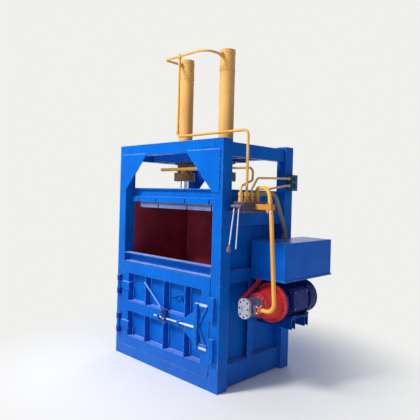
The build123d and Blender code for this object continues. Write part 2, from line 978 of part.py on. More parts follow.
# Valve body on its bracket plate, with the yoke that carries both hand levers
bracket_top = upper_rail_base + upper_rail_height + bracket_thickness
valve_right = valve_left + valve_width
valve_rear = valve_front + valve_length
valve_top = bracket_top + valve_height
yoke_y = valve_front - yoke_reach
yoke_z = valve_top - yoke_drop
cheek_pitch = (valve_width - yoke_cheek) / 2
valve_port_z = bracket_top + valve_height / 2
with BuildPart() as valve_body:
    bracket_span = (bracket_top - bracket_thickness, bracket_top)
    bracket_rear = valve_rear + bracket_margin
    bar((wall_outer, valve_left), (-bay_depth, bracket_rear), bracket_span)
    bar(
        (half_width + bracket_margin, valve_right + bracket_margin),
        (valve_front, bracket_rear),
        bracket_span,
    )
    bar((valve_left, valve_right), (valve_front, valve_rear), (bracket_top, valve_top))
    for step in range(3):
        cheek = valve_left + step * cheek_pitch
        bar(
            (cheek, cheek + yoke_cheek),
            (yoke_y, valve_front),
            (yoke_z - yoke_radius, yoke_z + yoke_radius),
        )
        rod((cheek, yoke_y, yoke_z), (cheek + yoke_cheek, yoke_y, yoke_z), yoke_radius)
    rod((valve_left, yoke_y, yoke_z), (valve_right, yoke_y, yoke_z), yoke_pin_radius)
    rod(
        (lower_pipe_x, valve_rear, valve_port_z),
        (lower_pipe_x, valve_rear + valve_port_reach, valve_port_z),
        valve_port_radius,
    )
keep(valve_body, "valve_body")

# Hand levers: a boss on the yoke pin and a plain rod, one of them with a ball
for step, name in enumerate(("inner", "outer")):
    boss_left = valve_left + yoke_cheek + step * cheek_pitch + hinge_axial_gap
    boss_right = boss_left + cheek_pitch - yoke_cheek - 2 * hinge_axial_gap
    lever_x = (boss_left + boss_right) / 2
    tip = (lever_x, yoke_y - valve_lever_lean[name], yoke_z - valve_lever_drop[name])
    with BuildPart() as valve_lever:
        rod((boss_left, yoke_y, yoke_z), (boss_right, yoke_y, yoke_z), yoke_radius)
        rod((lever_x, yoke_y, yoke_z), tip, valve_lever_radius)
        rod(
            (boss_left - overrun, yoke_y, yoke_z),
            (boss_right + overrun, yoke_y, yoke_z),
            yoke_pin_radius + bearing_gap,
            Mode.SUBTRACT,
        )
        if name == "inner":
            with Locations(tip):
                Sphere(knob_radius)
    keep(valve_lever, f"valve_lever_{name}")

# Four pipe fittings screwed into the valve
fitting_x = valve_right - fitting_inset
fitting_ys = [valve_front + share * valve_length for share in fitting_shares]
neck_foot = valve_top + fitting_base
neck_head = neck_foot + fitting_neck
fitting_top = neck_head + fitting_nut
with BuildPart() as valve_fittings:
    for y in fitting_ys:
        hexagon((fitting_x, y, valve_top), (fitting_x, y, neck_foot), fitting_flats)
        rod((fitting_x, y, neck_foot), (fitting_x, y, neck_head), fitting_neck_radius)
        hexagon((fitting_x, y, neck_head), (fitting_x, y, fitting_top), fitting_flats)
keep(valve_fittings, "valve_fittings")


# Cap side: a pipe joining both cylinder heads, and its feed from the valve
cap_y = fitting_ys[1]
cap_pipe = pipe(
    (
        (-cylinder_x, port_face, cap_port_level),
        (-cylinder_x, cap_y, cap_port_level),
        (cylinder_x, cap_y, cap_port_level),
        (cylinder_x, port_face, cap_port_level),
    ),
    cap_pipe_bends,
    cap_pipe_radius,
)
tee_bottom = cap_port_level - tee_drop
with cap_pipe:
    rod((tee_x, cap_y, tee_bottom), (tee_x, cap_y, cap_port_level + tee_rise), tee_radius)
keep(cap_pipe, "cap_pipe")

cap_feed_pipe = pipe(
    (
        (tee_x, cap_y, tee_bottom),
        (tee_x, cap_y, feed_level),
        (fitting_x, cap_y, feed_level),
        (fitting_x, cap_y, fitting_top),
    ),
    feed_bend,
    feed_radius,
)
keep(cap_feed_pipe, "cap_feed_pipe")


# Rod side: a header in front of the cylinders, and its feed from the valve
with BuildPart() as rod_header:
    rod((header_left, header_y, rod_port_level), (header_right, header_y, rod_port_level), header_radius)
    for side in (-1, 1):
        port_x = side * cylinder_x
        rod((port_x, header_y, rod_port_level), (port_x, port_face, rod_port_level), branch_radius)
keep(rod_header, "rod_header")

feed_joint = header_right + rod_feed_turn - abs(rod_feed_y - header_y) + rod_feed_radius
rod_feed_pipe = pipe(
    (
        (fitting_x, fitting_ys[0], fitting_top),
        (fitting_x, fitting_ys[0], fitting_top + rod_feed_rise),
        (rod_feed_x, rod_feed_y, fitting_top + rod_feed_rise + rod_feed_shift),
        (rod_feed_x, rod_feed_y, rod_port_level),
        (header_right + rod_feed_turn, rod_feed_y, rod_port_level),
        (feed_joint, header_y, rod_port_level),
        (header_right, header_y, rod_port_level),
    ),
    rod_feed_bends,
    rod_feed_radius,
)
keep(rod_feed_pipe, "rod_feed_pipe")


# Manifold block on the rear post, and the two pipes from the valve to it
block_front = rear - block_depth
port_x = half_width + block_width / 2
lower_port, upper_port = (block_bottom_level + share * block_height for share in block_port_shares)
with BuildPart() as manifold_block:
    block_right = half_width + block_width
    bar(
        (half_width, block_right),
        (block_front, rear),
        (block_bottom_level, block_bottom_level + block_height),
    )
    for level in (lower_port, upper_port):
        nut_y = rear - block_depth / 2
        hexagon((block_right, nut_y, level), (block_right + block_nut_length, nut_y, level), block_nut_flats)
keep(manifold_block, "manifold_block")

block_pipe_upper = pipe(
    (
        (fitting_x, fitting_ys[2], fitting_top),
        (fitting_x, fitting_ys[2], fitting_top + upper_pipe_rise),
        (fitting_x, fitting_ys[2] + upper_pipe_run, upper_port - upper_pipe_drop),
        (port_x, block_front - block_stub, upper_port),
        (port_x, block_front, upper_port),
    ),
    upper_pipe_bends,
    block_pipe_radius,
)
keep(block_pipe_upper, "block_pipe_upper")

block_pipe_lower = pipe(
    (
        (port_x, block_front, lower_port),
        (port_x, block_front - block_stub, lower_port),
        (lower_pipe_x, lower_pipe_y, lower_port - lower_pipe_drop),
        (lower_pipe_x, lower_pipe_y, valve_port_z),
        (lower_pipe_x, valve_rear + valve_port_reach, valve_port_z),
    ),
    lower_pipe_bend,
    block_pipe_radius,
)
keep(block_pipe_lower, "block_pipe_lower")


# Pressure pipe from the pump over to the valve, and the arm that steadies it
port_block_right = unit_x + port_block_reach
arch_level = fitting_top + pressure_rise
arch = (*pressure_arch, arch_level)
neck = (*pressure_neck, valve_top - pressure_neck_drop)
pressure_pipe = pipe(
    (
        (fitting_x, fitting_ys[3], fitting_top),
        (fitting_x, fitting_ys[3], arch_level),
        arch,
        neck,
        (*pressure_foot, unit_z),
        (port_block_right, pressure_foot[1], unit_z),
    ),
    pressure_bends,
    pressure_radius,
)
with pressure_pipe:
    hexagon(
        (port_block_right, pressure_foot[1], unit_z),
        (port_block_right + port_nut_length, pressure_foot[1], unit_z),
        port_nut_flats,
    )
keep(pressure_pipe, "pressure_pipe")

clamp = Vector(*arch) + (Vector(*neck) - Vector(*arch)) * arm_share
with BuildPart() as pipe_arm:
    arm_span = (clamp.Z - arm_height / 2, clamp.Z + arm_height / 2)
    bar(
        (valve_right, clamp.X),
        (clamp.Y - arm_thickness / 2, clamp.Y + arm_thickness / 2),
        arm_span,
    )
    bar(
        (clamp.X - clamp_width / 2, clamp.X + clamp_width / 2),
        (clamp.Y - clamp_depth / 2, clamp.Y + clamp_depth / 2),
        arm_span,
    )
    rod(arch, neck, pressure_radius + fit_gap, Mode.SUBTRACT)
keep(pipe_arm, "pipe_arm")


# Oil tank on the rear post, with its return and suction pipes
tank_right = half_width + tank_width
tank_rear = tank_front + tank_length
tank_left = rail_outer + fit_gap
tank_step = bay_depth - fit_gap
with BuildPart() as oil_tank:
    lip_span = (tank_bottom, tank_bottom + tank_lip_height)
    room_span = (tank_bottom + tank_lip_height, tank_top - tank_wall)
    bar((half_width, tank_right), (tank_front, tank_rear), (tank_bottom, tank_top))
    bar((tank_left, half_width), (tank_front, tank_step), (tank_bottom, tank_top))
    bar((half_width, tank_right + tank_lip), (tank_front - tank_lip, tank_rear + tank_lip), lip_span)
    bar((tank_left, half_width), (tank_front - tank_lip, tank_step), lip_span)
    bar(
        (half_width + tank_wall, tank_right - tank_wall),
        (tank_front + tank_wall, tank_rear - tank_wall),
        room_span,
        Mode.SUBTRACT,
    )
    bar(
        (tank_left + tank_wall, half_width + tank_wall),
        (tank_front + tank_wall, tank_step - tank_wall),
        room_span,
        Mode.SUBTRACT,
    )
    rod(
        (*return_foot, tank_top - tank_wall - overrun),
        (*return_foot, tank_top + overrun),
        return_radius - pipe_wall,
        Mode.SUBTRACT,
    )
    rod(
        (suction_x, suction_y, tank_bottom - overrun),
        (suction_x, suction_y, tank_bottom + tank_lip_height + overrun),
        suction_radius - pipe_wall,
        Mode.SUBTRACT,
    )
keep(oil_tank, "oil_tank")

return_level = valve_top + return_rise
return_pipe = pipe(
    (
        (return_x, return_y, valve_top),
        (return_x, return_y, return_level),
        (*return_knee, return_level),
        (*return_foot, tank_top + return_rise),
        (*return_foot, tank_top),
    ),
    (*return_bends, return_bends[0]),
    return_radius,
)
keep(return_pipe, "return_pipe")

inlet_left = unit_x - inlet_reach
inlet_z = unit_z + inlet_rise
pump_rear = pump_face + pump_cover_length + pump_length
inlet_y = pump_face + pump_cover_length + pump_length / 2
suction_pipe = pipe(
    (
        (suction_x, suction_y, tank_bottom),
        (suction_x, suction_y, tank_bottom - suction_drop),
        (suction_x, inlet_y, inlet_z),
        (inlet_left, inlet_y, inlet_z),
    ),
    suction_bends,
    suction_radius,
)
keep(suction_pipe, "suction_pipe")


# Pump: end cover, body with its ports, and the bell housing to the motor
cover_rear = pump_face + pump_cover_length
unit_front = Plane(origin=(unit_x, pump_face, unit_z), x_dir=(1, 0, 0), z_dir=(0, -1, 0))
with BuildPart() as pump_cover:
    oblong((pump_face, cover_rear), pump_cover_width, pump_cover_height, pump_cover_round)
    rod(
        (unit_x, pump_face - overrun, unit_z),
        (unit_x, pump_face + cover_recess_depth, unit_z),
        cover_recess_radius,
        Mode.SUBTRACT,
    )
    with Locations(unit_front):
        for across, up in cover_hole_shares:
            with Locations((across * pump_cover_width / 2, up * pump_cover_height / 2)):
                Cylinder(cover_hole_radius, pump_cover_length, mode=Mode.SUBTRACT)
keep(pump_cover, "pump_cover")

with BuildPart() as pump_body:
    oblong((cover_rear, pump_rear), pump_width, pump_height, pump_round)
    rod((unit_x, pump_rear - pump_flange_length, unit_z), (unit_x, pump_rear, unit_z), pump_flange_radius)
    bar(
        (unit_x, port_block_right),
        (pressure_foot[1] - port_block_length / 2, pressure_foot[1] + port_block_length / 2),
        (unit_z - port_block_height / 2, unit_z + port_block_height / 2),
    )
    rod((unit_x, inlet_y, inlet_z), (inlet_left, inlet_y, inlet_z), inlet_radius)
    rod(
        (unit_x, cover_rear + pump_end_wall, unit_z),
        (unit_x, pump_rear + overrun, unit_z),
        shaft_radius + bearing_gap,
        Mode.SUBTRACT,
    )
keep(pump_body, "pump_body")

motor_face = pump_rear + bell_length
flange_face = motor_face - bell_flange_length
with BuildPart() as bell_housing:
    turned(
        (
            (bell_bore, pump_rear),
            (bell_neck_radius, pump_rear),
            (bell_neck_radius, pump_rear + bell_neck_length),
            (bell_mouth_radius, flange_face),
            (motor_flange_radius, flange_face),
            (motor_flange_radius, motor_face),
            (bell_mouth_radius - bell_wall, motor_face),
            (bell_mouth_radius - bell_wall, flange_face),
            (bell_bore, pump_rear + bell_neck_length + bell_wall),
        )
    )
keep(bell_housing, "bell_housing")


# Motor: finned housing on feet, terminal box and fan cover
motor_rear = motor_face + motor_length
body_front = motor_face + motor_flange_length
fan_seat_front = motor_rear - fan_seat_length
fan_seat_radius = fan_cover_radius - fan_cover_wall - fit_gap
shaft_bore = shaft_radius + bearing_gap
box_span = (box_front, box_front + box_length)
box_level = unit_z + box_rise
box_reach_up = (box_level - box_height / 2, box_level + box_height / 2)
with BuildPart() as motor_housing:
    turned(
        (
            (shaft_bore, motor_face),
            (motor_flange_radius, motor_face),
            (motor_flange_radius, body_front),
            (motor_radius, body_front),
            (motor_radius, fan_seat_front),
            (fan_seat_radius, fan_seat_front),
            (fan_seat_radius, motor_rear),
            (shaft_bore, motor_rear),
            (shaft_bore, motor_rear - end_shield),
            (stator_bore, motor_rear - end_shield),
            (stator_bore, motor_face + end_shield),
            (shaft_bore, motor_face + end_shield),
        )
    )
    fin_length = fan_seat_front - body_front
    fin_depth = 2 * fin_height
    for step in range(fin_count):
        angle = step * 360 / fin_count
        beside_box = fin_gap_angle / 2 < angle < 360 - fin_gap_angle / 2
        if beside_box and abs(angle - 90) > fin_foot_angle / 2:
            with Locations(Location((unit_x, body_front + fin_length / 2, unit_z), (0, angle, 0))):
                with Locations((motor_radius, 0, 0)):
                    Box(fin_depth, fin_length, fin_thickness)
    foot_base = unit_z - shaft_height
    for y in foot_places:
        foot_span = (y - foot_length / 2, y + foot_length / 2)
        bar((unit_x - foot_half, unit_x + foot_half), foot_span, (foot_base, foot_base + foot_thickness))
        bar((unit_x - foot_web_half, unit_x + foot_web_half), foot_span, (foot_base, unit_z - foot_web_drop))
    bar(
        (unit_x + foot_web_half, unit_x + box_pad),
        box_span,
        box_reach_up,
    )
keep(motor_housing, "motor_housing")

with BuildPart() as terminal_box:
    bar(
        (unit_x + box_pad, unit_x + box_pad + box_reach),
        box_span,
        box_reach_up,
    )
    fillet(terminal_box.edges().filter_by(Axis.X), fin_height)
keep(terminal_box, "terminal_box")

cover_end = fan_seat_front + fan_cover_length
cover_inner = fan_cover_radius - fan_cover_wall
unit_rear = Plane(origin=(unit_x, cover_end, unit_z), x_dir=(1, 0, 0), z_dir=(0, -1, 0))
with BuildPart() as fan_cover:
    turned(
        (
            (0, cover_end - fan_cover_wall),
            (cover_inner, cover_end - fan_cover_wall),
            (cover_inner, fan_seat_front),
            (fan_cover_radius, fan_seat_front),
            (fan_cover_radius, cover_end),
            (0, cover_end),
        )
    )
    for ring_radius, hole_count in grille_rings.items():
        with Locations(unit_rear):
            with PolarLocations(ring_radius, hole_count):
                Cylinder(grille_hole_radius, 2 * fan_cover_wall + overrun, mode=Mode.SUBTRACT)
keep(fan_cover, "fan_cover")


# Drive shaft: motor rotor, fan, coupling and pump shaft turning together
fan_front = motor_rear + fan_gap
shaft_start = cover_rear + pump_end_wall + fit_gap
coupling_start = pump_rear + bell_neck_length + bell_wall
with BuildPart() as drive_shaft:
    rod((unit_x, shaft_start, unit_z), (unit_x, fan_front + fan_blade_length, unit_z), shaft_radius)
    rod(
        (unit_x, motor_face + end_shield + rotor_gap, unit_z),
        (unit_x, motor_rear - end_shield - rotor_gap, unit_z),
        rotor_radius,
    )
    rod(
        (unit_x, coupling_start, unit_z),
        (unit_x, coupling_start + coupling_length, unit_z),
        coupling_radius,
    )
    rod((unit_x, fan_front, unit_z), (unit_x, fan_front + fan_disc, unit_z), fan_radius)
    for step in range(fan_blade_count):
        angle = step * 360 / fan_blade_count
        with Locations(Location((unit_x, fan_front + fan_blade_length / 2, unit_z), (0, angle, 0))):
            with Locations((fan_radius / 2, 0, 0)):
                Box(fan_radius, fan_blade_length, fan_blade_thickness)
keep(drive_shaft, "drive_shaft")


# Motor base: two channels off the side wall, tied by a plate
channel_top = foot_base - tie_thickness
with BuildPart() as motor_base:
    for y in foot_places:
        side_span = (y - channel_width / 2, y + channel_width / 2)
        bar((wall_outer, channel_right), side_span, (channel_top - channel_height, channel_top))
        bar(
            (wall_outer - overrun, channel_right + overrun),
            (side_span[0] + channel_wall, side_span[1] - channel_wall),
            (channel_top - channel_height - overrun, channel_top - channel_wall),
            Mode.SUBTRACT,
        )
    bar(
        (half_width + tie_left_gap, channel_right),
        (foot_places[0] - channel_width / 2, foot_places[1] + channel_width / 2),
        (channel_top, foot_base),
    )
keep(motor_base, "motor_base")
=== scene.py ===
import math

import bmesh
import bpy
from mathutils import Matrix, Vector


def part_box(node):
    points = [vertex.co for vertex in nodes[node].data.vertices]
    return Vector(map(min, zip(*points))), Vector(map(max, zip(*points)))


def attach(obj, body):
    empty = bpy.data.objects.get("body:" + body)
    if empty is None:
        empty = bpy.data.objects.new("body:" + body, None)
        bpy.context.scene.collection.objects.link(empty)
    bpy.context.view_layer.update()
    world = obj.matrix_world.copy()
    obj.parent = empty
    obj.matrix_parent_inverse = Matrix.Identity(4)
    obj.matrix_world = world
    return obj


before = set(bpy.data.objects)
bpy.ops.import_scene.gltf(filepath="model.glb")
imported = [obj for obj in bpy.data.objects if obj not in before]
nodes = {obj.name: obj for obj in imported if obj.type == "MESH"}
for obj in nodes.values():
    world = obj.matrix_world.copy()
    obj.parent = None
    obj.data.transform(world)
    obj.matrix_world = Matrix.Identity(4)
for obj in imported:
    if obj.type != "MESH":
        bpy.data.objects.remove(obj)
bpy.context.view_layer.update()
scene = bpy.context.scene
scene.view_settings.view_transform = "Standard"


def linear(red, green, blue):
    """An sRGB colour of 0 to 255 as the linear colour that Blender takes."""

    def channel(value):
        value /= 255
        return value / 12.92 if value <= 0.04045 else ((value + 0.055) / 1.055) ** 2.4

    return (channel(red), channel(green), channel(blue), 1.0)


# Materials
bevel_samples = 4
mix_colour_sockets = (6, 7, 2)
noise_roughness = 0.55
flat_likeness = 0.99
edge_likeness = 0.86
paint_gloss = 0.06
floor_dirt = linear(116, 110, 104)
dirt_height = 0.35


class Shader:
    """A node material that is put together step by step."""

    def __init__(self, name, rough, metal=0.0, gloss=0.5):
        self.material = bpy.data.materials.new(name)
        self.material.use_nodes = True
        self.tree = self.material.node_tree
        self.bsdf = self.tree.nodes["Principled BSDF"]
        self.bsdf.inputs["Roughness"].default_value = rough
        self.bsdf.inputs["Metallic"].default_value = metal
        self.bsdf.inputs["Specular IOR Level"].default_value = gloss
        self.place = self.node("ShaderNodeTexCoord").outputs["Object"]

    def node(self, kind, **settings):
        """A new node, with its settings and the values or links of its inputs."""
        made = self.tree.nodes.new(kind)
        for key, value in settings.items():
            if hasattr(made, key):
                setattr(made, key, value)
            else:
                self.put(made.inputs[key], value)
        return made

    def put(self, socket, value):
        """Link an output to an input, or set the input to a plain value."""
        if isinstance(value, bpy.types.NodeSocket):
            self.tree.links.new(value, socket)
        else:
            socket.default_value = value

    def noise(self, scale, detail=4.0, stretch=(1, 1, 1)):
        """Noise in metres, stretched along an axis where wanted."""
        place = self.node("ShaderNodeMapping", Vector=self.place, Scale=stretch).outputs[0]
        made = self.node("ShaderNodeTexNoise", Vector=place, Scale=scale, Detail=detail)
        self.put(made.inputs["Roughness"], noise_roughness)
        return made.outputs[0]

    def ramp(self, value, low, high, to_low=0.0, to_high=1.0):
        """A value spread from one range to another, smoothly."""
        made = self.node("ShaderNodeMapRange", interpolation_type="SMOOTHSTEP", Value=value)
        for place, limit in enumerate((low, high, to_low, to_high), start=1):
            made.inputs[place].default_value = limit
        return made.outputs[0]

    def math(self, operation, one, other=0.0):
        """One step of arithmetic on two values."""
        made = self.node("ShaderNodeMath", operation=operation)
        self.put(made.inputs[0], one)
        self.put(made.inputs[1], other)
        return made.outputs[0]

    def times(self, one, other):
        """The product of two values."""
        return self.math("MULTIPLY", one, other)

    def mix(self, share, one, other):
        """A blend of two colours."""
        made = self.node("ShaderNodeMix", data_type="RGBA")
        self.put(made.inputs["Factor"], share)
        first, second, result = mix_colour_sockets
        self.put(made.inputs[first], one)
        self.put(made.inputs[second], other)
        return made.outputs[result]

    def tint(self, tone, colour, mask, share):
        """A tone with a share of another colour over it where the mask is bright."""
        return self.mix(self.times(mask, share), tone, colour)

    def part(self, axis):
        """One coordinate of the surface point, in metres."""
        return self.node("ShaderNodeSeparateXYZ", Vector=self.place).outputs[axis]

    def soft_normal(self, radius):
        """The surface's direction with its edges rounded by a radius."""
        return self.node("ShaderNodeBevel", samples=bevel_samples, Radius=radius).outputs[0]

    def edges(self, radius):
        """How far the surface turns within a radius: 0 on a flat face, 1 on an edge."""
        flat = self.node("ShaderNodeNewGeometry").outputs["Normal"]
        likeness = self.node("ShaderNodeVectorMath", operation="DOT_PRODUCT")
        self.put(likeness.inputs[0], self.soft_normal(radius))
        self.put(likeness.inputs[1], flat)
        return self.ramp(likeness.outputs["Value"], flat_likeness, edge_likeness)

    def finish(self, colour, rough=None, bump=None, strength=0.1, depth=0.001, rounding=0.0):
        """Join the colour, roughness, relief and rounded edges to the shader."""
        self.put(self.bsdf.inputs["Base Color"], colour)
        if rough is not None:
            self.put(self.bsdf.inputs["Roughness"], rough)
        normal = None
        if rounding:
            normal = self.soft_normal(rounding)
        if bump is not None:
            relief = self.node("ShaderNodeBump", Strength=strength, Distance=depth, Height=bump)
            if normal is not None:
                self.put(relief.inputs["Normal"], normal)
            normal = relief.outputs[0]
        if normal is not None:
            self.put(self.bsdf.inputs["Normal"], normal)
        return self.material


def paint(name, colour, deep, edge_tone, rough=0.36, second=None, grime=0.22, dust_and_sheen=None):
    """Brushed and sprayed enamel: patchy tone, runs, chipped edges with a painted edge highlight,
    dirt near the floor, and a dusty, painted sky sheen on upward faces.

    second is a mask with its bright and dark colour, dust_and_sheen is a colour and its share.
    """
    made = Shader(name, rough, gloss=paint_gloss)
    patches = made.ramp(made.noise(scale=3.2, detail=5.0), low=0.32, high=0.70)
    streaks = made.noise(scale=9.0, detail=3.0, stretch=(3.0, 3.0, 0.35))
    tone = made.tint(colour, deep, patches, share=0.55)
    tone = made.tint(tone, deep, made.ramp(streaks, low=0.45, high=0.75), share=0.28)
    if second is not None:
        mask, bright, dark = second
        tone = made.mix(mask(made), tone, made.mix(patches, bright, dark))
    near_floor = made.ramp(made.part(2), low=dirt_height, high=0.0)
    dirty = made.times(near_floor, made.noise(scale=26.0, detail=6.0))
    tone = made.tint(tone, floor_dirt, dirty, share=grime)
    # Upward faces get a dusty tone that is partly a painted sky sheen and highlight.
    if dust_and_sheen is not None:
        sheen_and_dust_colour, sheen_and_dust_share = dust_and_sheen
        normal = made.node("ShaderNodeNewGeometry").outputs["Normal"]
        upward = made.node("ShaderNodeSeparateXYZ", Vector=normal).outputs[2]
        level = made.ramp(upward, low=0.6, high=1.0)
        dust_and_sheen_mask = made.times(level, made.noise(scale=8.0, detail=5.0))
        tone = made.tint(tone, sheen_and_dust_colour, dust_and_sheen_mask, share=sheen_and_dust_share)
    # Edges are lightened: paint chips, and a painted highlight along every edge.
    spots = made.ramp(made.noise(scale=38.0, detail=5.0), low=0.40, high=0.62)
    chips_and_highlight = made.times(made.edges(radius=0.005), spots)
    tone = made.tint(tone, edge_tone, chips_and_highlight, share=0.75)
    clouds = made.noise(scale=14.0)
    sheen = made.ramp(clouds, low=0.25, high=0.8, to_low=rough - 0.07, to_high=rough + 0.16)
    peel = made.noise(scale=210.0, detail=2.0)
    return made.finish(tone, sheen, peel, strength=0.10, depth=0.0015, rounding=0.003)


def metal(name, colour, stain, rough, metallic=0.9, stretch=(1, 1, 1), second=None):
    """Bare or plated metal with a grain and stains; second is a mask and a colour."""
    made = Shader(name, rough, metallic)
    mottled = made.ramp(made.noise(scale=17.0, detail=6.0), low=0.58, high=0.74)
    fine = made.noise(scale=300.0, detail=3.0, stretch=stretch)
    tone = made.tint(colour, stain, mottled, share=0.7)
    tone = made.tint(tone, stain, made.ramp(fine, low=0.4, high=0.7), share=0.22)
    if second is not None:
        mask, other = second
        tone = made.mix(mask(made), tone, other)
    grain = made.ramp(fine, low=0.3, high=0.75, to_low=rough - 0.08, to_high=rough + 0.1)
    sheen = made.math("ADD", grain, made.times(mottled, 0.2))
    return made.finish(tone, sheen, fine, strength=0.08, depth=0.0008, rounding=0.0015)


def cast(name, colour, deep, edge_tone, rough, metallic=0.0, gloss=0.25):
    """Painted or bare casting with a grainy skin and scuffed edges."""
    made = Shader(name, rough, metallic, gloss)
    patches = made.ramp(made.noise(scale=11.0, detail=5.0), low=0.3, high=0.72)
    grain = made.noise(scale=320.0)
    tone = made.mix(patches, colour, deep)
    spots = made.ramp(made.noise(scale=60.0), low=0.4, high=0.6)
    tone = made.tint(tone, edge_tone, made.times(made.edges(radius=0.003), spots), share=0.6)
    clouds = made.noise(scale=24.0)
    sheen = made.ramp(clouds, low=0.25, high=0.8, to_low=rough - 0.08, to_high=rough + 0.15)
    return made.finish(tone, sheen, grain, strength=0.22, depth=0.001, rounding=0.002)


# Where a piece changes its colour, in metres
chamber_half_width = 0.588
chamber_rear = 0.351
chamber_margin = 0.0006
panel_back = -0.3974
panel_margin = 0.0002
mask_blur = 0.0004
post_right = 0.476
upper_lit_face = 0.658
lower_lit_face = 0.332
bar_level = 0.471
nut_reach = 0.0305
platen_bar_height = 0.055
lever_boss_height = 0.030
lever_grip_length = 0.198
lever_hub_margin = 0.020
tank_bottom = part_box("oil_tank")[0][2]
nut_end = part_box("pump_body")[1][0] + nut_reach
plate_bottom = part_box("cylinder_bridge")[0][2]
slab_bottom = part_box("platen")[0][2] + platen_bar_height
boss_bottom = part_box("valve_lever_inner")[1][2] - lever_boss_height
grip_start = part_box("lock_lever")[0][0] + lever_grip_length
hub_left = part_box("lever_pivot")[0][0] - lever_hub_margin


def inside_walls(made):
    """1 on the faces of the walls that look into the press chamber."""
    from_middle = made.math("ABSOLUTE", made.part(0))
    beside = made.ramp(from_middle, chamber_half_width + chamber_margin, chamber_half_width)
    ahead = made.ramp(made.part(1), chamber_rear + chamber_margin, chamber_rear)
    return made.times(beside, ahead)


def inside_door(made):
    """1 on the door panel's face towards the chamber."""
    return made.ramp(made.part(1), panel_back - panel_margin, panel_back + panel_margin)


def below(level):
    """A mask that is 1 under a level."""
    return lambda made: made.ramp(made.part(2), level + mask_blur, level - mask_blur)


def above(level):
    """A mask that is 1 over a level."""
    return lambda made: made.ramp(made.part(2), level - mask_blur, level + mask_blur)


def left_of(limit):
    """A mask that is 1 to the left of an X limit."""
    return lambda made: made.ramp(made.part(0), limit + mask_blur, limit - mask_blur)


def lit_tongue_faces(made):
    """1 on the latch tongues' faces past the post, where a highlight is painted."""
    right = made.math("SUBTRACT", 1.0, left_of(post_right)(made))
    tongues = made.math("ADD", above(upper_lit_face)(made), below(lower_lit_face)(made))
    return made.times(right, tongues)


def lever_ends(made):
    """1 on the locking lever's handle and hub, 0 on the rod between them."""
    hub = made.math("SUBTRACT", 1.0, left_of(hub_left)(made))
    return made.math("ADD", hub, left_of(grip_start)(made))


def pump_nut(made):
    """1 on the pressure pipe's nut at the pump."""
    return made.times(left_of(nut_end)(made), below(tank_bottom)(made))


blue = linear(2, 103, 202)
deep_blue = linear(2, 82, 180)
# Edge colour of the blue paint: chips, and a painted highlight along edges.
chip_and_highlight_blue = linear(150, 188, 226)
enamel = (blue, deep_blue, chip_and_highlight_blue)
# Colours and shares for upward faces: a dusty tone that is partly a painted sky sheen and
# highlight.
sky_sheen_and_dust = (linear(182, 198, 240), 0.75)
rail_sheen_and_dust = (linear(206, 212, 246), 1.05)
ledge_sheen_and_dust = (linear(158, 176, 240), 0.85)
tank_sheen_and_dust = (linear(116, 126, 190), 0.8)
valve_sheen_and_dust = (linear(196, 190, 206), 1.2)
bright_sheen_and_dust = (linear(222, 232, 255), 1.8)
# White of a painted highlight on the latch tongues and bar.
highlight_white = (linear(222, 230, 250), linear(176, 200, 244))
chamber_red = (linear(178, 64, 82), linear(140, 50, 66))
navy = (linear(18, 62, 166), linear(12, 46, 134))
groove_grey = (linear(114, 126, 172), linear(84, 92, 140))
# Darker yellow of painted shade on the cylinders below the bridge plate.
painted_shade_yellow = (linear(194, 148, 84), linear(132, 102, 62))
nut_orange = (linear(222, 104, 58), linear(190, 80, 44))

frame_blue = paint("frame_blue", *enamel, dust_and_sheen=sky_sheen_and_dust)
rail_blue = paint("rail_blue", *enamel, dust_and_sheen=rail_sheen_and_dust)
ledge_blue = paint("ledge_blue", *enamel, dust_and_sheen=ledge_sheen_and_dust)
wall_paint = paint("wall_paint", *enamel, second=(inside_walls, *chamber_red), dust_and_sheen=sky_sheen_and_dust)
# A darker blue: painted shade for pieces that lie in shade.
painted_shade_blue = paint(
    "painted_shade_blue", linear(8, 62, 150), linear(6, 44, 122), chip_and_highlight_blue, dust_and_sheen=sky_sheen_and_dust
)
# Pale blue for weld beads: a painted highlight along the seams.
lit_weld_blue = paint(
    "lit_weld_blue", linear(122, 174, 244), linear(80, 146, 232), linear(196, 218, 248), rough=0.3
)
# Painted shade on the hinge brackets.
painted_shade_navy = paint("painted_shade_navy", *navy, chip_and_highlight_blue)
door_paint = paint("door_paint", *enamel, second=(inside_door, *chamber_red))
# The tongues' faces past the post are white as a painted highlight; upward faces get a strong
# painted sheen.
latch_paint = paint("latch_paint", *enamel, second=(lit_tongue_faces, *highlight_white), dust_and_sheen=bright_sheen_and_dust)
# The bar is white above bar_level as a painted highlight on its upper half, and blue below.
bar_paint = paint(
    "bar_paint",
    *highlight_white,
    linear(240, 246, 255),
    rough=0.28,
    second=(below(bar_level), blue, deep_blue),
)
# The rod's pale blue is a painted highlight along it; the handle and hub are navy.
lever_paint = paint(
    "lever_paint",
    linear(142, 182, 242),
    linear(104, 152, 230),
    linear(196, 216, 246),
    second=(lever_ends, *navy),
)
platen_paint = paint(
    "platen_paint", *enamel, second=(below(slab_bottom), *groove_grey), dust_and_sheen=rail_sheen_and_dust
)
tank_paint = paint(
    "tank_paint",
    linear(8, 104, 208),
    linear(6, 80, 182),
    linear(146, 176, 220),
    rough=0.28,
    grime=0.0,
    dust_and_sheen=tank_sheen_and_dust,
)
# Below the bridge plate the yellow is darkened as painted shade.
cylinder_yellow = paint(
    "cylinder_yellow",
    linear(232, 182, 110),
    linear(208, 152, 84),
    linear(248, 222, 176),
    rough=0.42,
    second=(below(plate_bottom), *painted_shade_yellow),
    grime=0.0,
)
pipe_yellow = paint(
    "pipe_yellow",
    linear(236, 183, 94),
    linear(214, 153, 64),
    linear(252, 222, 162),
    rough=0.33,
    grime=0.0,
)
pressure_paint = paint(
    "pressure_paint",
    linear(236, 180, 82),
    linear(214, 149, 54),
    linear(252, 220, 156),
    rough=0.33,
    second=(pump_nut, *nut_orange),
    grime=0.0,
)
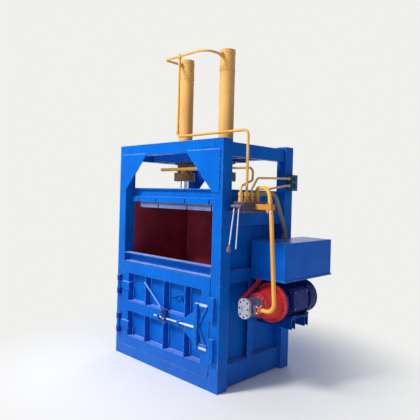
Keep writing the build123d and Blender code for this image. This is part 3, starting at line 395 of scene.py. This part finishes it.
# Yellow lifted as painted light, for pipes that lie in shade.
painted_light_yellow = paint(
    "painted_light_yellow",
    linear(240, 198, 110),
    linear(220, 168, 76),
    linear(252, 226, 170),
    grime=0.0,
)
# Yellow paint shown grey-olive: painted shade with a painted reflection of the blue around it.
return_yellow = paint(
    "return_yellow",
    linear(150, 146, 128),
    linear(118, 118, 110),
    linear(206, 196, 166),
    rough=0.4,
    grime=0.0,
)
arm_orange = paint(
    "arm_orange",
    linear(208, 140, 60),
    linear(182, 112, 42),
    linear(236, 188, 122),
    rough=0.4,
    grime=0.0,
)
fitting_paint = paint(
    "fitting_paint",
    linear(238, 186, 84),
    linear(214, 150, 56),
    linear(252, 226, 170),
    rough=0.38,
    grime=0.0,
)
valve_iron = paint(
    "valve_iron",
    linear(88, 80, 104),
    linear(52, 46, 66),
    linear(190, 182, 200),
    grime=0.0,
    dust_and_sheen=valve_sheen_and_dust,
)
# Red lifted as painted light, for a pipe in the tank's shadow.
suction_red = paint(
    "suction_red", linear(228, 66, 84), linear(190, 50, 66), linear(226, 130, 130), rough=0.4
)
rod_chrome = metal(
    "rod_chrome", linear(214, 214, 218), linear(168, 166, 168), rough=0.16, stretch=(1, 1, 0.08)
)
bolt_steel = metal("bolt_steel", linear(150, 148, 152), linear(96, 84, 78), rough=0.38)
dark_steel = metal(
    "dark_steel", linear(70, 66, 78), linear(44, 40, 48), rough=0.42, metallic=0.7
)
zinc = metal("zinc", linear(236, 214, 216), linear(196, 170, 170), rough=0.34, metallic=0.5)
bright_steel = metal(
    "bright_steel",
    linear(204, 206, 236),
    linear(160, 158, 178),
    rough=0.4,
    metallic=0.45,
    second=(above(boss_bottom), linear(104, 96, 124)),
)
pump_face = metal(
    "pump_face", linear(178, 178, 192), linear(112, 116, 148), rough=0.42, metallic=0.35
)
shaft_steel = metal("shaft_steel", linear(170, 170, 176), linear(120, 116, 116), rough=0.3)
knob_brown = cast(
    "knob_brown", linear(134, 116, 128), linear(106, 90, 104), linear(184, 166, 172), rough=0.4
)
block_teal = cast(
    "block_teal", linear(26, 92, 142), linear(16, 66, 110), linear(110, 160, 190), rough=0.45
)
motor_navy = cast(
    "motor_navy",
    linear(24, 46, 122),
    linear(16, 30, 88),
    linear(80, 100, 168),
    rough=0.46,
    gloss=0.12,
)
bell_red = cast(
    "bell_red", linear(224, 50, 48), linear(192, 40, 42), linear(236, 136, 120), rough=0.36
)
pump_iron = cast(
    "pump_iron",
    linear(124, 116, 148),
    linear(82, 74, 104),
    linear(196, 190, 214),
    rough=0.42,
    metallic=0.3,
)

# Every CAD piece is frame_blue unless it is named here
finishes = {
    wall_paint: ("side_wall_left", "side_wall_right", "rear_wall"),
    door_paint: ("door_panel",),
    latch_paint: ("latch_frame",),
    rail_blue: ("sill",),
    ledge_blue: ("door_frame",),
    lever_paint: ("lock_lever",),
    # darker blue: painted shade
    painted_shade_blue: (
        "motor_base",
        "cylinder_bridge",
        "lever_pivot",
        "hinge_pin_upper",
        "hinge_pin_lower",
    ),
    painted_shade_navy: ("hinge_bracket_upper", "hinge_bracket_lower"),
    platen_paint: ("platen",),
    tank_paint: ("oil_tank",),
    cylinder_yellow: ("cylinder_left", "cylinder_right", "gland_left", "gland_right"),
    pipe_yellow: ("cap_pipe", "cap_feed_pipe"),
    # brighter yellow: painted light
    painted_light_yellow: ("rod_header", "rod_feed_pipe", "block_pipe_upper", "block_pipe_lower"),
    pressure_paint: ("pressure_pipe",),
    arm_orange: ("pipe_arm",),
    return_yellow: ("return_pipe",),
    suction_red: ("suction_pipe",),
    rod_chrome: ("piston_rod_left", "piston_rod_right"),
    bolt_steel: ("gland_bolts",),
    bright_steel: ("valve_lever_inner", "valve_lever_outer"),
    bar_paint: ("latch_bar",),
    fitting_paint: ("valve_fittings",),
    valve_iron: ("valve_body",),
    block_teal: ("manifold_block",),
    motor_navy: ("motor_housing", "fan_cover", "terminal_box"),
    bell_red: ("bell_housing",),
    pump_iron: ("pump_body",),
    pump_face: ("pump_cover",),
    shaft_steel: ("drive_shaft",),
}
for node in nodes.values():
    node.data.materials.clear()
    node.data.materials.append(frame_blue)
for finish, names in finishes.items():
    for name in names:
        nodes[name].data.materials[0] = finish


# Shapes of the small pieces
sharp_angle = math.radians(32)
ripple_steps = 3
ripple_length = 0.006


def skin(mesh, loops):
    """Faces between a row of closed loops, with both ends closed."""
    for low, high in zip(loops, loops[1:]):
        for step in range(len(low)):
            after = (step + 1) % len(low)
            mesh.faces.new((low[step], low[after], high[after], high[step]))
    mesh.faces.new(loops[0][::-1])
    mesh.faces.new(loops[-1])


def lathe(mesh, place, axis, rings, sides=24):
    """A stack of rings along an axis; each is (half width, height, six-sided or round)."""
    axis = Vector(axis).normalized()
    across = axis.orthogonal().normalized()
    beside = axis.cross(across)
    loops = []
    for half, height, six_sided in rings:
        loop = []
        for step in range(sides):
            angle = math.tau * step / sides
            reach = half
            if six_sided:
                reach /= math.cos((angle + math.pi / 6) % (math.pi / 3) - math.pi / 6)
            spoke = across * math.cos(angle) + beside * math.sin(angle)
            loop.append(mesh.verts.new(Vector(place) + axis * height + spoke * reach))
        loops.append(loop)
    skin(mesh, loops)


def hex_head(mesh, place, axis, flats, height):
    """A bolt head or nut on its washer, with the corners turned off."""
    half = flats / 2
    washer_half = 1.16 * half
    crown_half = 0.92 * half
    stud_half = 0.5 * half
    tip_half = 0.46 * half
    washer = 0.1 * flats
    top = washer + height
    shoulder = top - 0.1 * height
    tip = top + 0.25 * height
    rings = (
        (washer_half, 0, False),
        (washer_half, washer, False),
        (half, washer, True),
        (half, shoulder, True),
        (crown_half, top, False),
        (stud_half, top, False),
        (tip_half, tip, False),
    )
    lathe(mesh, place, axis, rings)


def socket_screw(mesh, place, axis, radius, height):
    """A cap screw with a six-sided socket."""
    crown = 0.9 * radius
    socket = 0.5 * radius
    shoulder = 0.88 * height
    socket_floor = 0.45 * height
    rings = (
        (radius, 0, False),
        (radius, shoulder, False),
        (crown, height, False),
        (socket, height, True),
        (socket, socket_floor, True),
    )
    lathe(mesh, place, axis, rings)


def union_nut(mesh, place, axis, flats, length, pipe):
    """A nut around a pipe of a given radius, with a sleeve at its outer end."""
    half = flats / 2
    crown_half = 0.93 * half
    sleeve = pipe + 0.003
    sleeve_end = pipe + 0.002
    in_pipe = pipe - 0.001
    rings = (
        (crown_half, 0, False),
        (half, 0.1 * length, True),
        (half, 0.86 * length, True),
        (crown_half, 0.96 * length, False),
        (sleeve, 0.98 * length, False),
        (sleeve_end, 1.35 * length, False),
        (in_pipe, 1.4 * length, False),
    )
    lathe(mesh, place, axis, rings)


def spaced(points, pitch):
    """Points at an even pitch along straight runs."""
    row = [Vector(points[0])]
    for one, other in zip(points, points[1:]):
        one, other = Vector(one), Vector(other)
        count = max(1, round((other - one).length / pitch))
        row += [one.lerp(other, step / count) for step in range(1, count + 1)]
    return row


def rounded(points, bend, steps=6):
    """The points of a bent rod, with a short curve at each corner."""
    points = [Vector(point) for point in points]
    row = [points[0]]
    for before, corner, after in zip(points, points[1:], points[2:]):
        start = corner + (before - corner).normalized() * bend
        end = corner + (after - corner).normalized() * bend
        for step in range(steps + 1):
            share = step / steps
            row.append(start.lerp(corner, share).lerp(corner.lerp(end, share), share))
    row.append(points[-1])
    return row


def sweep(mesh, points, radius, ripple=0.0, sides=8):
    """A round bar along points; a ripple makes it the bead of a weld."""
    loops = []
    across = None
    for step, spot in enumerate(points):
        ahead = points[min(step + 1, len(points) - 1)] - points[max(step - 1, 0)]
        ahead.normalize()
        across = ahead.orthogonal() if across is None else across - ahead * across.dot(ahead)
        across.normalize()
        beside = ahead.cross(across)
        reach = radius * (1 + ripple * math.cos(step * math.tau / ripple_steps))
        loop = []
        for turn in range(sides):
            angle = math.tau * turn / sides
            spoke = across * math.cos(angle) + beside * math.sin(angle)
            loop.append(mesh.verts.new(spot + spoke * reach))
        loops.append(loop)
    skin(mesh, loops)


def bead(mesh, points, pitch=0.002, radius=0.0042, ripple=0.16):
    """A weld bead along straight runs."""
    sweep(mesh, spaced(points, pitch), radius, ripple)


def upright_bead(mesh, x, y, low, high):
    """A weld bead that runs straight up."""
    bead(mesh, ((x, y, low), (x, y, high)))


def ring_bead(mesh, middle, radius, level, thickness):
    """A weld bead around an upright tube."""
    count = ripple_steps * round(math.tau * radius / ripple_length)
    turns = [math.tau * step / count for step in range(count + 1)]
    points = [
        Vector((middle + radius * math.cos(turn), radius * math.sin(turn), level))
        for turn in turns
    ]
    sweep(mesh, points, thickness, ripple=0.12)


def around(middle, radius, count, start=0.0):
    """Places on a circle about an axis along Y."""
    x, y, z = middle
    for step in range(count):
        angle = start + math.tau * step / count
        yield Vector((x + radius * math.cos(angle), y, z + radius * math.sin(angle)))


def piece(name, mesh, finish, body):
    """Turn a finished mesh into a piece that rides on a body."""
    bmesh.ops.recalc_face_normals(mesh, faces=mesh.faces)
    data = bpy.data.meshes.new(name)
    mesh.to_mesh(data)
    mesh.free()
    data.materials.append(finish)
    data.polygons.foreach_set("use_smooth", [True] * len(data.polygons))
    data.set_sharp_from_angle(angle=sharp_angle)
    made = bpy.data.objects.new(name, data)
    scene.collection.objects.link(made)
    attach(made, body)


to_front = (0, -1, 0)
to_back = (0, 1, 0)
to_top = (0, 0, 1)
to_floor = (0, 0, -1)
to_right = (1, 0, 0)
to_left = (-1, 0, 0)
both_ways = (-1, 1)

# Pump: screws of its cover and of its pressure port
cover_low, cover_high = map(Vector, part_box("pump_cover"))
unit_x = (cover_low.x + cover_high.x) / 2
unit_z = (cover_low.z + cover_high.z) / 2
half_width = (cover_high.x - cover_low.x) / 2
half_height = (cover_high.z - cover_low.z) / 2
cover_screw_shares = ((0, 0.82), (0.62, 0.58), (0.76, 0), (0.62, -0.58))
screw_seat = cover_low.y + 0.0125
screws = bmesh.new()
for across, rise in cover_screw_shares:
    for way in both_ways:
        x = unit_x + way * across * half_width
        z = unit_z + way * rise * half_height
        socket_screw(screws, (x, screw_seat, z), to_front, radius=0.0078, height=0.0115)
piece("pump_cover_screws", screws, dark_steel, "frame")

port_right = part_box("pump_body")[1][0]
port_y = -0.285
port_half_width = 0.025
port_half_height = 0.024
screws = bmesh.new()
for across in both_ways:
    for rise in both_ways:
        y = port_y + across * port_half_width
        z = unit_z + rise * port_half_height
        socket_screw(screws, (port_right, y, z), to_right, radius=0.0055, height=0.008)
piece("pump_port_screws", screws, zinc, "frame")

# Bell and motor: bolts of the flanges and feet
bell_low, bell_high = map(Vector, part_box("bell_housing"))
flange_front = bell_high.y - 0.022
flange_back = bell_high.y + 0.018
bolts = bmesh.new()
for place in around((unit_x, flange_front, unit_z), radius=0.150, count=8, start=math.pi / 8):
    hex_head(bolts, place, to_front, flats=0.016, height=0.008)
for place in around((unit_x, flange_back, unit_z), radius=0.1505, count=8, start=math.pi / 8):
    hex_head(bolts, place, to_back, flats=0.016, height=0.008)
for place in around((unit_x, bell_low.y, unit_z), radius=0.086, count=4, start=math.pi / 4):
    hex_head(bolts, place, to_front, flats=0.017, height=0.009)
piece("bell_bolts", bolts, bell_red, "frame")

foot_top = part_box("motor_housing")[0][2] + 0.022
foot_rows = (0.140, 0.330)
foot_half_width = 0.112
bolts = bmesh.new()
for y in foot_rows:
    for way in both_ways:
        place = (unit_x + way * foot_half_width, y, foot_top)
        hex_head(bolts, place, to_top, flats=0.019, height=0.010)
piece("foot_bolts", bolts, bolt_steel, "frame")

# Terminal box: a lid with round corners, and the screws of lid and fan cover
box_low, box_high = map(Vector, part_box("terminal_box"))
lid_inset = 0.005
lid_corner = 0.013
lid_thickness = 0.0045
lid_profile = ((0, 0), (0.003, 0), (lid_thickness, 0.002))
lid_quarters = ((1, 1), (-1, 1), (-1, -1), (1, -1))
corner_steps = 4
corner_place = lid_inset + lid_corner
lid = bmesh.new()
rows = []
for depth, inset in lid_profile:
    reach = lid_corner - inset
    row = []
    for quarter, (side, up) in enumerate(lid_quarters):
        y = box_high.y - corner_place if side > 0 else box_low.y + corner_place
        z = box_high.z - corner_place if up > 0 else box_low.z + corner_place
        for step in range(corner_steps + 1):
            angle = (quarter + step / corner_steps) * math.pi / 2
            rim = (box_high.x + depth, y + reach * math.cos(angle), z + reach * math.sin(angle))
            row.append(lid.verts.new(rim))
    rows.append(row)
skin(lid, rows)
piece("terminal_box_lid", lid, motor_navy, "frame")

lid_screw_inset = 0.02
fan_low, fan_high = map(Vector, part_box("fan_cover"))
fan_radius = (fan_high.x - fan_low.x) / 2
fan_screw_y = fan_low.y + 0.008
screws = bmesh.new()
for y in (box_low.y + lid_screw_inset, box_high.y - lid_screw_inset):
    for z in (box_low.z + lid_screw_inset, box_high.z - lid_screw_inset):
        place = (box_high.x + lid_thickness, y, z)
        socket_screw(screws, place, to_right, radius=0.005, height=0.003)
for place in around((unit_x, fan_screw_y, unit_z), radius=fan_radius, count=4, start=math.pi / 4):
    outward = place - Vector((unit_x, place.y, unit_z))
    socket_screw(screws, place, outward, radius=0.005, height=0.003)
piece("motor_screws", screws, bolt_steel, "frame")

# Two bolts of the clamp that holds the pressure pipe: nuts below, heads above
arm_low, arm_high = map(Vector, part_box("pipe_arm"))
clamp_x = arm_high.x - 0.022
clamp_y = arm_low.y + 0.0065
clamp_half_width = 0.0155
bolt_end = ((0.0035, 0, False), (0.0035, 0.023, False), (0.0028, 0.024, False))
clamp_nuts = bmesh.new()
clamp_heads = bmesh.new()
for way in both_ways:
    x = clamp_x + way * clamp_half_width
    hex_head(clamp_nuts, (x, clamp_y, arm_low.z), to_floor, flats=0.013, height=0.011)
    lathe(clamp_nuts, (x, clamp_y, arm_low.z), to_floor, bolt_end, sides=12)
    hex_head(clamp_heads, (x, clamp_y, arm_high.z), to_top, flats=0.012, height=0.006)
piece("clamp_nuts", clamp_nuts, zinc, "frame")
piece("clamp_heads", clamp_heads, arm_orange, "frame")

# Nuts where the pipes meet the cylinders, the block, the valve, the tank and the pump
cap_high = Vector(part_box("cap_pipe")[1])
block_low = Vector(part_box("manifold_block")[0])
valve_high = Vector(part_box("valve_body")[1])
cylinder_x = (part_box("cylinder_right")[0][0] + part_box("cylinder_right")[1][0]) / 2
cap_level = cap_high.z - 0.014
port_face = -0.090
block_middle = block_low.x + 0.0275
block_height = 0.143
block_port_shares = (0.31, 0.76)
valve_port_x = 0.790
valve_port_z = 1.467
nuts = bmesh.new()
for way in both_ways:
    port = (way * cylinder_x, port_face, cap_level)
    union_nut(nuts, port, to_front, flats=0.034, length=0.020, pipe=0.0105)
for share in block_port_shares:
    port = (block_middle, block_low.y, block_low.z + share * block_height)
    union_nut(nuts, port, to_front, flats=0.028, length=0.018, pipe=0.009)
port = (valve_port_x, valve_high.y, valve_port_z)
union_nut(nuts, port, to_back, flats=0.028, length=0.016, pipe=0.009)
piece("pipe_nuts", nuts, fitting_paint, "frame")

riser_x = -0.066
riser_y = -0.283
collar_drop = 0.665
collar = bmesh.new()
riser = (riser_x, riser_y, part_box("cap_feed_pipe")[1][2] - collar_drop)
union_nut(collar, riser, to_floor, flats=0.030, length=0.022, pipe=0.011)
piece("riser_collar", collar, fitting_paint, "frame")

tank_low, tank_high = map(Vector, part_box("oil_tank"))
return_x = 0.712
return_y = 0.336
nuts = bmesh.new()
port = (return_x, return_y, tank_high.z)
union_nut(nuts, port, to_top, flats=0.052, length=0.022, pipe=0.018)
piece("return_nut", nuts, return_yellow, "frame")

pump_low = Vector(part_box("pump_body")[0])
suction_x = 0.708
suction_y = -0.015
inlet_y = -0.260
inlet_rise = 0.012
nuts = bmesh.new()
port = (suction_x, suction_y, tank_low.z)
union_nut(nuts, port, to_floor, flats=0.054, length=0.022, pipe=0.020)
port = (pump_low.x, inlet_y, unit_z + inlet_rise)
union_nut(nuts, port, to_left, flats=0.054, length=0.020, pipe=0.020)
piece("suction_nuts", nuts, suction_red, "frame")

# Pear-shaped knob on the inner hand lever
lever_low, lever_high = map(Vector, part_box("valve_lever_inner"))
lever_end = 0.014
lever_middle = (lever_low.x + lever_high.x) / 2
lever_boss = Vector((lever_middle, lever_high.y - lever_end, lever_high.z - lever_end))
lever_tip = Vector((lever_middle, lever_low.y + lever_end, lever_low.z + lever_end))
down_lever = (lever_tip - lever_boss).normalized()
knob_rings = (
    (0.0070, -0.040, False),
    (0.0085, -0.034, False),
    (0.0110, -0.022, False),
    (0.0160, -0.008, False),
    (0.0190, 0.004, False),
    (0.0180, 0.013, False),
    (0.0130, 0.019, False),
    (0.0060, 0.021, False),
)
knob = bmesh.new()
lathe(knob, lever_tip, down_lever, knob_rings)
piece("lever_knob", knob, knob_brown, "valve_lever_inner")

# Bent rod in the upper door field
panel_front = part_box("door_panel")[0][1]
rod_front = panel_front - 0.036
rod_foot = panel_front + 0.001
rod_start = (0.111, 0.650)
rod_corner = (0.211, 0.692)
rod_end = (0.249, 0.635)
rod_points = (
    (rod_start[0], rod_foot, rod_start[1]),
    (rod_start[0], rod_front, rod_start[1]),
    (rod_corner[0], rod_front, rod_corner[1]),
    (rod_end[0], rod_front, rod_end[1]),
    (rod_end[0], rod_foot, rod_end[1]),
)
handle = bmesh.new()
sweep(handle, rounded(rod_points, bend=0.016), radius=0.008, sides=12)
piece("door_handle_rod", handle, painted_shade_blue, "door")

# Weld beads of the frame
post_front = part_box("post_front_right")[0][1]
gusset_foot = 0.07
keeper_inset = 0.012
beam_inset = 0.02
wall_rail_depth = 0.053
wall_weld_half = 0.355
wall_weld_levels = (0.185, 0.840, 0.935, 1.306, 1.420)
welds = bmesh.new()
# Beads along the gussets' top edges are pale blue, a painted highlight.
lit_welds = bmesh.new()
for name, side in (("gusset_front_left", -1), ("gusset_front_right", 1)):
    low, high = map(Vector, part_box(name))
    outer, inner = (low.x, high.x) if side < 0 else (high.x, low.x)
    foot = (outer - side * gusset_foot, post_front, low.z)
    upper = (outer, post_front, high.z)
    bead(welds, (foot, (outer, post_front, low.z), upper))
    bead(lit_welds, (upper, (inner, post_front, high.z)))
for level in ("upper", "lower"):
    low, high = map(Vector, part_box(f"keeper_{level}"))
    upright_bead(welds, high.x, post_front, low.z + keeper_inset, high.z - keeper_inset)
    low, high = map(Vector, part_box(f"hinge_bracket_{level}"))
    upright_bead(welds, low.x, post_front, low.z, high.z)
sill_low, sill_high = map(Vector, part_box("sill"))
for x in (sill_low.x, sill_high.x):
    upright_bead(welds, x, sill_low.y, sill_low.z, sill_high.z)
beam_low, beam_high = map(Vector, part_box("top_beam_front"))
for x in (beam_low.x, beam_high.x):
    upright_bead(welds, x, beam_low.y, beam_low.z + beam_inset, beam_high.z)
wall_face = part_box("side_wall_right")[1][0] - wall_rail_depth
for side in both_ways:
    for level in wall_weld_levels:
        x = side * wall_face
        bead(welds, ((x, -wall_weld_half, level), (x, wall_weld_half, level)), pitch=0.004)
piece("frame_welds", welds, frame_blue, "frame")
piece("gusset_welds", lit_welds, lit_weld_blue, "frame")

# Weld beads of the door: around each field, and along the hinge straps, in pale blue as a painted
# highlight
door_low, door_high = map(Vector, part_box("door_panel"))
field_left = door_low.x + 0.075
field_right = door_high.x - 0.088
lower_field = (door_low.z + 0.093, 0.430)
upper_field = (0.526, door_high.z - 0.102)
rib_shares = (0.265, 0.525, 0.80)
rib_half = 0.005
strap_bases = (0.574, 0.206)
strap_edges = (0.055, 0.125)
strap_length = 0.100
welds = bmesh.new()
edges = [field_left]
for share in rib_shares:
    rib = field_left + share * (field_right - field_left)
    edges += [rib - rib_half, rib + rib_half]
edges.append(field_right)
for left, right in zip(edges[::2], edges[1::2]):
    for low, high in (lower_field, upper_field):
        corners = [(left, low), (right, low), (right, high), (left, high), (left, low)]
        points = [(x, door_low.y, z) for x, z in corners]
        bead(welds, points, pitch=0.003, radius=0.0035)
for base in strap_bases:
    for edge in strap_edges:
        start = (door_low.x, post_front, base + edge)
        bead(welds, (start, (door_low.x + strap_length, post_front, base + edge)))
piece("door_welds", welds, lit_weld_blue, "door")

# Weld beads around the cylinders
tube_radius = 0.070
tube_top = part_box("cylinder_right")[1][2]
welds = bmesh.new()
for way in both_ways:
    for drop, thickness in ((0.185, 0.0035), (0.028, 0.003)):
        ring_bead(welds, way * cylinder_x, tube_radius, tube_top - drop, thickness)
piece("tube_welds", welds, cylinder_yellow, "frame")

# Weld beads of the tank: on its lip, and up its front corner
lip_width = 0.008
lip_top = tank_low.z + 0.012
tank_right = tank_high.x - lip_width
tank_front = tank_low.y + lip_width
tank_rear = tank_high.y - lip_width
corner_inset = 0.001
welds = bmesh.new()
points = (
    (tank_low.x, tank_front, lip_top),
    (tank_right, tank_front, lip_top),
    (tank_right, tank_rear, lip_top),
)
bead(welds, points, pitch=0.003, radius=0.0035)
x = tank_right - corner_inset
y = tank_front + corner_inset
bead(welds, ((x, y, lip_top), (x, y, tank_high.z)), pitch=0.003, radius=0.003, ripple=0.12)
piece("tank_welds", welds, tank_paint, "frame")

# Stage, light and camera
backdrop = linear(240, 240, 238)
sky_colour = linear(212, 224, 255)
sky_at_horizon = 0.15
sky_overhead = 0.5
floor_half = 9.0
floor_cells = 24
floor_gap = 0.0005
floor_tones = (linear(238, 238, 236), linear(243, 243, 241))
fade_start = 0.9
fade_end = 2.3


def plain_backdrop(tree, share):
    """What camera, glossy and transmission rays meet: 1 for those, 0 for the light itself."""
    path = tree.nodes.new("ShaderNodeLightPath")
    seen = path.outputs["Is Camera Ray"]
    for name in ("Is Glossy Ray", "Is Transmission Ray"):
        either = tree.nodes.new("ShaderNodeMath")
        either.operation = "MAXIMUM"
        tree.links.new(seen, either.inputs[0])
        tree.links.new(path.outputs[name], either.inputs[1])
        seen = either.outputs[0]
    tree.links.new(seen, share)


def lamp(name, place, target, size, watts, colour):
    """A round area lamp that faces a target."""
    data = bpy.data.lights.new(name, "AREA")
    data.shape = "DISK"
    data.size = size
    data.energy = watts
    data.color = colour[:3]
    made = bpy.data.objects.new(name, data)
    made.location = place
    made.rotation_euler = (Vector(target) - Vector(place)).to_track_quat("-Z", "Y").to_euler()
    scene.collection.objects.link(made)


world = bpy.data.worlds.new("studio")
scene.world = world
world.use_nodes = True
sky = world.node_tree
light = sky.nodes["Background"]
light.inputs["Color"].default_value = sky_colour
height = sky.nodes.new("ShaderNodeSeparateXYZ")
sky.links.new(sky.nodes.new("ShaderNodeTexCoord").outputs["Generated"], height.inputs[0])
overhead = sky.nodes.new("ShaderNodeMapRange")
sky.links.new(height.outputs[2], overhead.inputs[0])
for place, value in enumerate((0.0, 1.0, sky_at_horizon, sky_overhead), start=1):
    overhead.inputs[place].default_value = value
sky.links.new(overhead.outputs[0], light.inputs["Strength"])
pale = sky.nodes.new("ShaderNodeBackground")
pale.inputs["Color"].default_value = backdrop
pale.inputs["Strength"].default_value = 1.0
either = sky.nodes.new("ShaderNodeMixShader")
plain_backdrop(sky, either.inputs[0])
sky.links.new(light.outputs[0], either.inputs[1])
sky.links.new(pale.outputs[0], either.inputs[2])
sky.links.new(either.outputs[0], sky.nodes["World Output"].inputs["Surface"])

floor_mesh = bmesh.new()
bmesh.ops.create_grid(
    floor_mesh, x_segments=floor_cells, y_segments=floor_cells, size=floor_half
)
floor_data = bpy.data.meshes.new("studio_floor")
floor_mesh.to_mesh(floor_data)
floor_mesh.free()
floor = bpy.data.objects.new("studio_floor", floor_data)
floor.location.z = -floor_gap
scene.collection.objects.link(floor)
ground = Shader("studio_floor", rough=0.9)
ground.finish(ground.mix(ground.noise(scale=60.0, detail=3.0), *floor_tones))
glow = ground.node("ShaderNodeEmission", Color=backdrop, Strength=1.0)
reach = ground.node("ShaderNodeVectorMath", operation="LENGTH")
ground.put(reach.inputs[0], ground.place)
fade = ground.node("ShaderNodeMixShader")
ground.put(fade.inputs[0], ground.ramp(reach.outputs["Value"], fade_start, fade_end))
ground.put(fade.inputs[1], ground.bsdf.outputs[0])
ground.put(fade.inputs[2], glow.outputs[0])
ground.put(ground.tree.nodes["Material Output"].inputs["Surface"], fade.outputs[0])
floor_data.materials.append(ground.material)

body_middle = (0, 0, 1.2)
upper_body = (0, 0, 1.4)
lamp("key", (-1.5, -5.2, 5.8), body_middle, size=1.6, watts=515, colour=linear(255, 251, 246))
lamp("front", (0.4, -6.5, 2.2), body_middle, size=3.0, watts=60, colour=linear(245, 248, 255))
lamp("side", (6.0, -1.0, 3.4), body_middle, size=3.0, watts=8, colour=linear(225, 235, 255))
lamp("rear", (-3.0, 5.0, 4.0), upper_body, size=3.0, watts=60, colour=linear(240, 244, 255))

# The photo's own camera, as solved from the edges of the post frame
photo_size = 420
frame_drop = 14
eye = (3.1477, -3.1094, 1.5500)
forward = Vector((-0.70105, 0.71310, -0.00231)).normalized()
right = Vector((0.71310, 0.70106, 0.0))
roll = 0.02647
view_data = bpy.data.cameras.new("view")
view_data.sensor_width = 36.0
view_data.lens = 39.94
view_data.shift_y = -frame_drop / photo_size
view = bpy.data.objects.new("view", view_data)
up = right.cross(forward)
turned_right = right * math.cos(roll) + up * math.sin(roll)
turned_up = up * math.cos(roll) - right * math.sin(roll)
facing = Matrix((turned_right, turned_up, -forward)).transposed()
view.matrix_world = Matrix.Translation(eye) @ facing.to_4x4()
scene.collection.objects.link(view)
scene.camera = view
